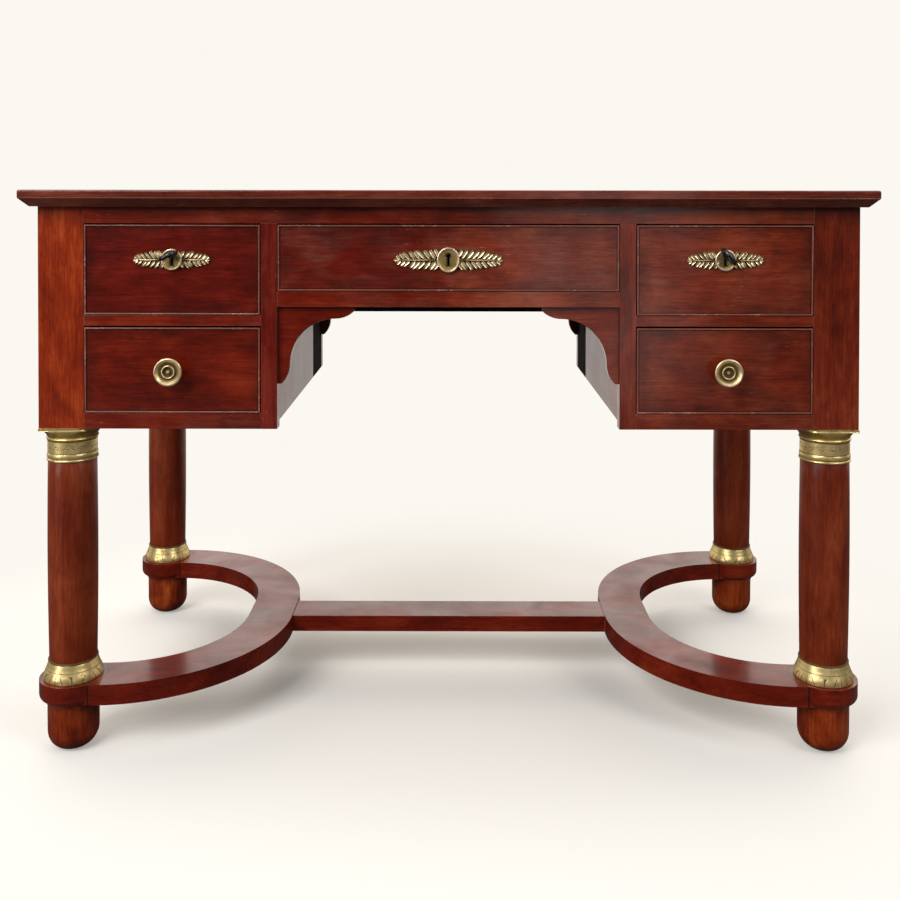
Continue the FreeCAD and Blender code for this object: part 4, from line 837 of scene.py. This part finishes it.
# %% Drawer boards
DRAWERS = ("upper_left", "lower_left", "centre", "upper_right", "lower_right")
BEAD_CREST = FRONT_FACE - 0.0009
KEY_HEIGHT = 0.682
KEYHOLE_HALF_WIDTH, KEYHOLE_HALF_HEIGHT = 0.008, 0.025
FRONT_EASE = 0.0002
LININGS = (("sides", oak_deep, 0.0005), ("back", oak_long, 0.0005), ("bottom", oak_deep, 0.0003))


def paint_faces(piece, finish, test):
    """Give the faces that pass the test a finish of their own."""
    piece.data.materials.append(finish)
    choose(piece, "FACE", test)
    piece.active_material_index = len(piece.data.materials) - 1
    bpy.ops.object.material_slot_assign()
    leave_edit()


for drawer in DRAWERS:
    node = f"{drawer}_drawer_front"
    front = eased(node, wood[f"{drawer}_front"], ease=FRONT_EASE)
    # The bead's crest takes the painted highlight wood, the keyhole's walls the near-black painted shade
    # wood.
    paint_faces(front, wood["bead_crest_highlight_and_wear"], lambda middle, normal: middle.y < BEAD_CREST and normal.y < -0.5)
    middle_x = on_front(node).x
    paint_faces(front, wood["shade"], lambda middle, normal: middle.y > FRONT_FACE and abs(normal.y) < 0.3
                and abs(middle.x - middle_x) < KEYHOLE_HALF_WIDTH
                and abs(middle.z - KEY_HEIGHT) < KEYHOLE_HALF_HEIGHT)
    for board, oak_cut, ease in LININGS:
        eased(f"{drawer}_drawer_{board}", oak_cut, "oak", ease=ease)
print("drawers:", len(DRAWERS))

# %% [markdown]
# ## Turning
# A lathe makes a column by moving a cutter along a profile. In Blender the profile is a chain of points,
# drawn by extruding one point from place to place, and Spin carries it once round the axis. The same tool
# turns columns, feet, base rings, capitals and knobs.

# %% Lathe
def arc(centre_radius, centre_height, bend, start, stop, count):
    """Points of a profile's curve, from one angle to another in degrees."""
    steps = [math.radians(start + (stop - start) * step / count) for step in range(count + 1)]
    return [(centre_radius + bend * math.cos(turn), centre_height + bend * math.sin(turn)) for turn in steps]


def lathe(name, profile, centre, axis="Z", rounds=64):
    """Turn a profile of radius and height about an axis through the centre; along Y the height runs to -Y."""
    def at(radius, height):
        return Vector((radius, 0, height)) if axis == "Z" else Vector((radius, -height, 0))
    bpy.ops.object.select_all(action="DESELECT")
    bpy.ops.mesh.primitive_plane_add(size=0.001, location=centre)
    piece = bpy.context.object
    piece.name = name
    bpy.ops.object.mode_set(mode="EDIT")
    bpy.ops.mesh.select_mode(type="VERT")
    bpy.ops.mesh.select_all(action="SELECT")
    bpy.ops.mesh.merge(type="CENTER")
    place = at(*profile[0])
    bpy.ops.transform.translate(value=place)
    for radius, height in profile[1:]:
        bpy.ops.mesh.extrude_vertices_move(TRANSFORM_OT_translate={"value": at(radius, height) - place})
        place = at(radius, height)
    bpy.ops.mesh.select_all(action="SELECT")
    turn_axis = (0, 0, 1) if axis == "Z" else (0, 1, 0)
    bpy.ops.mesh.spin(steps=rounds, angle=2 * math.pi, center=centre, axis=turn_axis)
    leave_edit()
    settle(piece)
    close_up(piece)
    return piece


def at_four_legs(piece, name):
    """The piece under the front left corner and its copies at the other three, as one piece."""
    copies = [twin(piece, f"{name}_{index}", move) for index, move in enumerate(
        ((2 * LEG_X, 0, 0), (0, 2 * LEG_Y, 0), (2 * LEG_X, 2 * LEG_Y, 0)))]
    return merged(name, piece, *copies)


FRONT_LEFT_LEG = (-LEG_X, -LEG_Y, 0)
print("lathe ready")

# %% [markdown]
# The columns swell a little towards the middle, as classical columns do, so that they don't look pinched.
# The feet are cylinders with a rounded lower edge, and they spread a little under the pad.

# %% Columns and feet
SHAFT_LOW, SHAFT_HIGH = 0.1235, 0.3995
SHAFT_FOOT, SHAFT_HEAD, SHAFT_SWELL = 0.0317, 0.0325, 0.0012
SHAFT_STEPS = 12
DOWEL, DOWEL_LOW, DOWEL_HIGH = 0.026, 0.105, 0.41
shaft = []
for step in range(SHAFT_STEPS + 1):
    share = step / SHAFT_STEPS
    radius = SHAFT_FOOT + (SHAFT_HEAD - SHAFT_FOOT) * share + SHAFT_SWELL * math.sin(math.pi * share)
    shaft.append((radius, SHAFT_LOW + (SHAFT_HIGH - SHAFT_LOW) * share))
column = lathe("column", [(0, DOWEL_LOW), (DOWEL, DOWEL_LOW), *shaft, (DOWEL, DOWEL_HIGH), (0, DOWEL_HIGH)],
               FRONT_LEFT_LEG)
columns = settle(at_four_legs(column, "turned_columns"))
dress(columns, "carcase", "mahogany", wood["column"], "columns")

BOWL_FLAT, BOWL_ROUND, BOWL_RISE = 0.0115, 0.0227, 0.0250
bowl = [(BOWL_FLAT + BOWL_ROUND * math.sin(turn), BOWL_RISE - BOWL_RISE * math.cos(turn))
        for turn in (math.radians(9 * step) for step in range(11))]
foot = lathe("foot", [(0, 0), *bowl, (0.0343, 0.0590), (0.0346, 0.0612), (0.0352, 0.0632), (0.0362, 0.0655),
                      (0.0371, 0.0690), (0, 0.0690)], FRONT_LEFT_LEG)
feet = settle(at_four_legs(foot, "turned_feet"))
dress(feet, "carcase", "mahogany", wood["foot"], "feet")
print("columns and feet turned:", len(columns.data.polygons), "and", len(feet.data.polygons), "faces")

# %% [markdown]
# ## Brass collars
# Each column stands in a brass ring with a broad moulded foot, and carries a brass capital with a beaded
# neck, a hollow throat and a plate that squares off at the corner of the case. The ring and the capital's
# neck are turned, and the flaring throat is sawn off flush with the case's outer faces. The plate is cut
# off a copy of the CAD capital, above the throat, because its outline is half round, half square.

# %% Base rings
SLEEVE = 0.0280
ring_bead = arc(0.0320, 0.1225, 0.0014, -60, 70, 5)
ring_profile = [
    (SLEEVE, 0.0970), (0.0380, 0.0970), (0.0390, 0.0976), (0.0396, 0.0992), (0.0395, 0.1015),
    (0.0389, 0.1042), (0.0377, 0.1072), (0.0363, 0.1102), (0.0360, 0.1112), (0.0348, 0.1140),
    (0.0337, 0.1172), (0.0330, 0.1202), (0.0326, 0.1211), *ring_bead, (SLEEVE, 0.1239)]
ring = lathe("ring", ring_profile, FRONT_LEFT_LEG)
rings = settle(at_four_legs(ring, "turned_base_rings"))
dress(rings, "carcase", "brass", collar_brass, "base_rings")
print("base rings:", len(rings.data.polygons), "faces")

# %% Capital necks
rim_bead = arc(0.0328, 0.4008, 0.0017, -80, 80, 6)
torus = arc(0.0258, 0.4066, 0.0081, -24, 24, 6)
upper_bead = arc(0.0329, 0.4300, 0.0018, -80, 80, 6)
THROAT_FOOT, THROAT_REACH, THROAT_LOW, THROAT_RISE = 0.0333, 0.0072, 0.4324, 0.0100
THROAT_STEPS = 9
NECK_HIGH = 0.4430
throat = [(THROAT_FOOT + THROAT_REACH * share ** 1.25, THROAT_LOW + THROAT_RISE * share)
          for share in (step / THROAT_STEPS for step in range(THROAT_STEPS + 1))]
neck_profile = [
    (SLEEVE, NECK_LOW), *rim_bead, (0.0331, 0.4034), *torus, (0.0327, 0.4101), (0.0327, 0.4105),
    (0.0330, 0.4109), (0.0330, 0.4264), (0.0334, 0.4269), (0.0334, 0.4275), (0.0328, 0.4279),
    *upper_bead, (0.0328, 0.4319), *throat, (THROAT_FOOT + THROAT_REACH, NECK_HIGH), (SLEEVE, NECK_HIGH)]
neck = lathe("neck", neck_profile, FRONT_LEFT_LEG)
necks = at_four_legs(neck, "capital_necks")
CASE_FACE = 0.0348
for outwards in ((-1, 0, 0), (1, 0, 0), (0, -1, 0), (0, 1, 0)):
    face_point = (outwards[0] * (LEG_X + CASE_FACE), outwards[1] * (LEG_Y + CASE_FACE), 0)
    edit_all(necks)
    bpy.ops.mesh.bisect(plane_co=face_point, plane_no=outwards, use_fill=True, clear_outer=True)
    leave_edit()

# %% Capital plates
PLATE_LOW = 0.4424
plates = cad_copy("capitals", "capital_plates")
bpy.ops.mesh.bisect(plane_co=(0, 0, PLATE_LOW), plane_no=(0, 0, 1), use_fill=True, clear_inner=True)
bpy.ops.mesh.select_all(action="SELECT")
bpy.ops.mesh.dissolve_limited(angle_limit=FLAT_ANGLE)
leave_edit()
soften = plates.modifiers.new("soften", "BEVEL")
soften.width = 0.0010
soften.segments = 3
soften.angle_limit = math.radians(50)
only(plates)
bpy.ops.object.modifier_apply(modifier="soften")
choose(plates, "FACE", lambda middle, normal: abs(normal.z) < 0.05)
bpy.ops.mesh.inset(thickness=0.0006, depth=-0.0009)
leave_edit()
capitals = settle(merged("turned_capitals", necks, plates))
dress(capitals, "carcase", "brass", collar_brass, "capitals")
print("capitals:", len(capitals.data.polygons), "faces")

# %% [markdown]
# ## Knobs
# The two lower drawers have turned knobs: a rolled rim, a dished face, a raised ring and a small button.

# %% Knobs
knob_centre = on_front("left_knob")
rim = arc(0.0172, 0.0234, 0.0018, -70, 105, 8)
boss = arc(0.0081, 0.0224, 0.0010, 0, 180, 6)
knob_profile = [
    (0, 0), (0.0095, 0), (0.0095, 0.0026), (0.0078, 0.0046), (0.0067, 0.0078), (0.0070, 0.0112),
    (0.0092, 0.0152), (0.0135, 0.0188), (0.0174, 0.0211), *rim, (0.0158, 0.0243), (0.0147, 0.0232),
    (0.0133, 0.0220), (0.0118, 0.0212), (0.0102, 0.0208), (0.0093, 0.0208), (0.0091, 0.0216), *boss,
    (0.0071, 0.0212), (0.0067, 0.0203), (0.0052, 0.0199), (0.0032, 0.0200), (0.0027, 0.0204),
    (0.0025, 0.0220), (0.0016, 0.0231), (0, 0.0235)]
knob = lathe("left_knob_turned", knob_profile, knob_centre, axis="Y", rounds=56)
right_knob = twin(knob, "right_knob_turned", (-2 * knob_centre.x, 0, 0))
for piece, side in ((knob, "left"), (right_knob, "right")):
    settle(piece, 50)
    dress(piece, f"lower_{side}_drawer", "brass", knob_brass)
print("knob:", len(knob.data.polygons), "faces")

# %% [markdown]
# The CAD knob also holds the nut inside the drawer, so it stays behind the turned one: a nut on a stem,
# cut off a copy of it behind the drawer front.

# %% Knob nuts
BEHIND_FRONT = FRONT_FACE + 0.001
for side in ("left", "right"):
    nut = cad_copy(f"{side}_knob", f"{side}_knob_nut")
    bpy.ops.mesh.bisect(plane_co=(0, BEHIND_FRONT, 0), plane_no=(0, 1, 0), use_fill=True, clear_inner=True)
    leave_edit()
    settle(nut)
    dress(nut, f"lower_{side}_drawer", "brass", knob_brass, f"{side}_knob")
print("nuts cut off")

# %% [markdown]
# ## Leaf mounts
# The long keyhole plates are cast as two laurel sprays that meet at a round shield. One leaflet is
# modelled from a small ball: hollowed along its middle so that a rim stays, narrowed at its stalk, and
# sunk by half into the plate. It is then copied along the spine, a little smaller each time, reaching
# towards the plate's lens outline. The real ones were chased by hand, so a seeded dice roll gives each
# leaf a lean, a width and a height of its own.

# %% One leaflet
bpy.ops.object.select_all(action="DESELECT")
bpy.ops.mesh.primitive_uv_sphere_add(segments=12, ring_count=10, radius=0.5, rotation=(0, math.pi / 2, 0))
leaflet = bpy.context.object
leaflet.name = "leaflet"
bpy.ops.object.transform_apply(rotation=True)
for inner, outer, push in ((0.0, 0.1, 0.27), (0.1, 0.3, 0.12), (0.3, 0.45, -0.13)):
    choose(leaflet, "VERT", lambda point, normal: point.y < -0.02 and abs(point.x) < 0.45
           and inner <= abs(point.z) / math.sqrt(1 - 3.6 * point.x ** 2) < outer)
    bpy.ops.transform.translate(value=(0, push, 0))
choose(leaflet, "VERT", lambda point, normal: point.x < -0.2)
bpy.ops.transform.resize(value=(1, 0.75, 0.62), center_override=(-0.4, 0, 0))
leave_edit()
print("leaflet:", len(leaflet.data.polygons), "faces")


# %% Leaves
def leaf(length, width, height, base, lean):
    """A copy of the leaflet that starts at its base point and leans away from the spine, in degrees."""
    turn = math.radians(lean)
    copy = twin(leaflet, "leaf")
    copy.scale = (length, height, width)
    copy.rotation_euler = (0, -turn, 0)
    copy.location = Vector(base) + Vector((math.cos(turn), 0, math.sin(turn))) * length / 2
    only(copy)
    bpy.ops.object.transform_apply(location=True, rotation=True, scale=True)
    return copy


OVAL_POWER = 2.5
TIP_LEAF = (0.0095, 0.0042, 0.0040)


def reach_to_outline(root, lean, half_length, half_height):
    """How far a leaf may run from its root on the spine to the full oval outline, found by halving."""
    near, far = 0.0, half_length
    for _ in range(24):
        middle = (near + far) / 2
        along = (root + middle * math.cos(math.radians(lean))) / half_length
        up = middle * math.sin(math.radians(lean)) / half_height
        if along ** OVAL_POWER + up ** OVAL_POWER < 1:
            near = middle
        else:
            far = middle
    return near


# %% Sprays
def sprays(centre, length, height, shield, pairs):
    """Two leaf sprays that grow away from the shield."""
    dice = random.Random(pairs)
    half_length, half_height = length / 2, height / 2
    lift = FRONT_FACE - 0.0012
    first_root, last_root = shield * 0.62, half_length * 0.86
    pitch = (last_root - first_root) / (pairs - 1)
    pieces = []
    for side in (1, -1):
        for step in range(pairs):
            root = first_root + pitch * step
            lean = 56 - 14 * step / (pairs - 1)
            base = (centre.x + side * root, lift, centre.z)
            for upper in (1, -1):
                turn = lean + dice.uniform(-6, 6)
                reach = reach_to_outline(root, turn, half_length, half_height) * dice.uniform(0.90, 1.0)
                wide = pitch * math.sin(math.radians(turn)) * dice.uniform(0.86, 1.12)
                tall = dice.uniform(0.0040, 0.0047)
                pieces.append(leaf(reach, wide, tall, base, upper * (turn if side > 0 else 180 - turn)))
        outwards = 0 if side > 0 else 180
        end = (centre.x + side * (half_length - TIP_LEAF[0]), lift, centre.z)
        pieces.append(leaf(*TIP_LEAF, end, outwards))
        spine = (centre.x + side * shield * 0.9, lift - 0.0005, centre.z)
        pieces.append(leaf(half_length - shield * 0.9 - 0.004, 0.0020, 0.0046, spine, outwards))
    return pieces


# %% Shields
KEY_RISE = 0.006
KEYHOLE_END = 0.009
EYE_RADIUS, EYE_SIDES = 0.0040, 24
SLOT_WIDTH, SLOT_FLARE = 0.0054, 1.25
CUT_DEPTH = 0.02


def shield_with_keyhole(centre, half_width, half_height):
    """A raised rim round a sunk field, turned as a closed body, and the keyhole cut through it."""
    rim_round = arc(half_width - 0.0013, 0.0034, 0.0013, -75, 190, 8)
    shield_profile = [
        (0, 0.0001), (half_width - 0.0012, 0.0001), (half_width - 0.0006, 0.0000), *rim_round,
        (half_width - 0.0032, 0.0021), (half_width * 0.5, 0.0019), (0, 0.0019)]
    dished = lathe("shield", shield_profile, centre, axis="Y", rounds=40)
    edit_all(dished)
    bpy.ops.transform.resize(value=(1, 1, half_height / half_width), center_override=centre)
    leave_edit()
    eye = centre + Vector((0, 0, KEY_RISE))
    bpy.ops.object.select_all(action="DESELECT")
    # Half a side's turn keeps the cutter's corners off the shield's seams, which makes a clean cut.
    bpy.ops.mesh.primitive_cylinder_add(vertices=EYE_SIDES, radius=EYE_RADIUS, depth=CUT_DEPTH, location=eye,
                                        rotation=(math.pi / 2, math.pi / EYE_SIDES, 0))
    round_cutter = bpy.context.object
    slot_middle = centre + Vector((0, 0, (KEY_RISE - KEYHOLE_END) / 2))
    slot_size = (SLOT_WIDTH, CUT_DEPTH, KEY_RISE + KEYHOLE_END)
    bpy.ops.mesh.primitive_cube_add(size=1, location=slot_middle, scale=slot_size)
    slot_cutter = bpy.context.object
    bpy.ops.object.transform_apply(location=True, scale=True)
    choose(slot_cutter, "VERT", lambda point, normal: point.z < centre.z)
    bpy.ops.transform.resize(value=(SLOT_FLARE, 1, 1), center_override=centre)
    leave_edit()
    for cutter in (round_cutter, slot_cutter):
        hole = dished.modifiers.new("keyhole", "BOOLEAN")
        hole.object = cutter
        hole.operation = "DIFFERENCE"
        only(dished)
        bpy.ops.object.modifier_apply(modifier="keyhole")
        bpy.data.objects.remove(cutter)
    return dished


# %% Leaf mounts
PLATE_SHRINK, PLATE_THIN = (0.97, 1, 0.88), (1, 0.5, 1)


def backing(name):
    """The plate behind the leaves: a thinner and slightly smaller copy of the CAD plate."""
    plate = cad_copy(name, name + "_backing")
    bpy.ops.transform.resize(value=PLATE_SHRINK, center_override=on_front(name))
    bpy.ops.transform.resize(value=PLATE_THIN, center_override=(0, FRONT_FACE, 0))
    leave_edit()
    return plate


for name, length, height, half_width, half_height, pairs, body in (
        ("left_escutcheon", 0.105, 0.026, 0.0143, 0.0146, 7, "upper_left_drawer"),
        ("centre_escutcheon", 0.149, 0.031, 0.0154, 0.0172, 9, "centre_drawer"),
        ("right_escutcheon", 0.105, 0.026, 0.0143, 0.0146, 7, "upper_right_drawer")):
    centre = on_front(name)
    leaves = sprays(centre, length, height, half_width, pairs)
    plate = backing(name)
    shield = shield_with_keyhole(centre, half_width, half_height)
    mount = merged(name + "_cast", plate, shield, *leaves)
    settle(mount, 50)
    dress(mount, body, "brass", leaf_brass, name)
    print(mount.name, len(leaves), "leaves,", len(mount.data.polygons), "faces")
bpy.data.objects.remove(leaflet)

# %% [markdown]
# ## Keys, locks and bolts
# The keys get smooth copies so that the rings shine, and their bows are drawn out a little fuller, as
# forged ones are. The lock cases and bolts are plain sheet iron and steel inside the drawer fronts, and
# only need their finish.

# %% Keys and locks
KEY_REACH = 0.37325
BOW_START = FRONT_FACE - 0.012
BOW_FULLNESS = (1.15, 1.18, 1.35)
for side in ("left", "right"):
    key = eased(f"{side}_key", key_steel, "key_steel", ease=0.00025, smooth_angle=40)
    key_x = -KEY_REACH if side == "left" else KEY_REACH
    choose(key, "VERT", lambda point, normal: point.y < BOW_START)
    bpy.ops.transform.resize(value=BOW_FULLNESS, center_override=(key_x, BOW_START, KEY_HEIGHT))
    leave_edit()
    print(key.name, len(key.data.polygons), "faces")
for side in ("left", "right", "centre"):
    for node, metal in ((f"{side}_lock_case", lock_iron), (f"{side}_lock_bolt", key_steel)):
        lock_piece = frame["nodes"][node]
        lock_piece.data.materials.clear()
        lock_piece.data.materials.append(metal)
print("keys and locks finished")

# %% [markdown]
# ## Size note
# The dressed desk is meant to stay the size of the CAD desk, so both boxes are printed.

# %% Finish
seen_low, seen_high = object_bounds()
for name, corners in (("cad box", (*cad_low, *cad_high)), ("visual box", (*seen_low, *seen_high))):
    print(name, [round(measure, 4) for measure in corners])
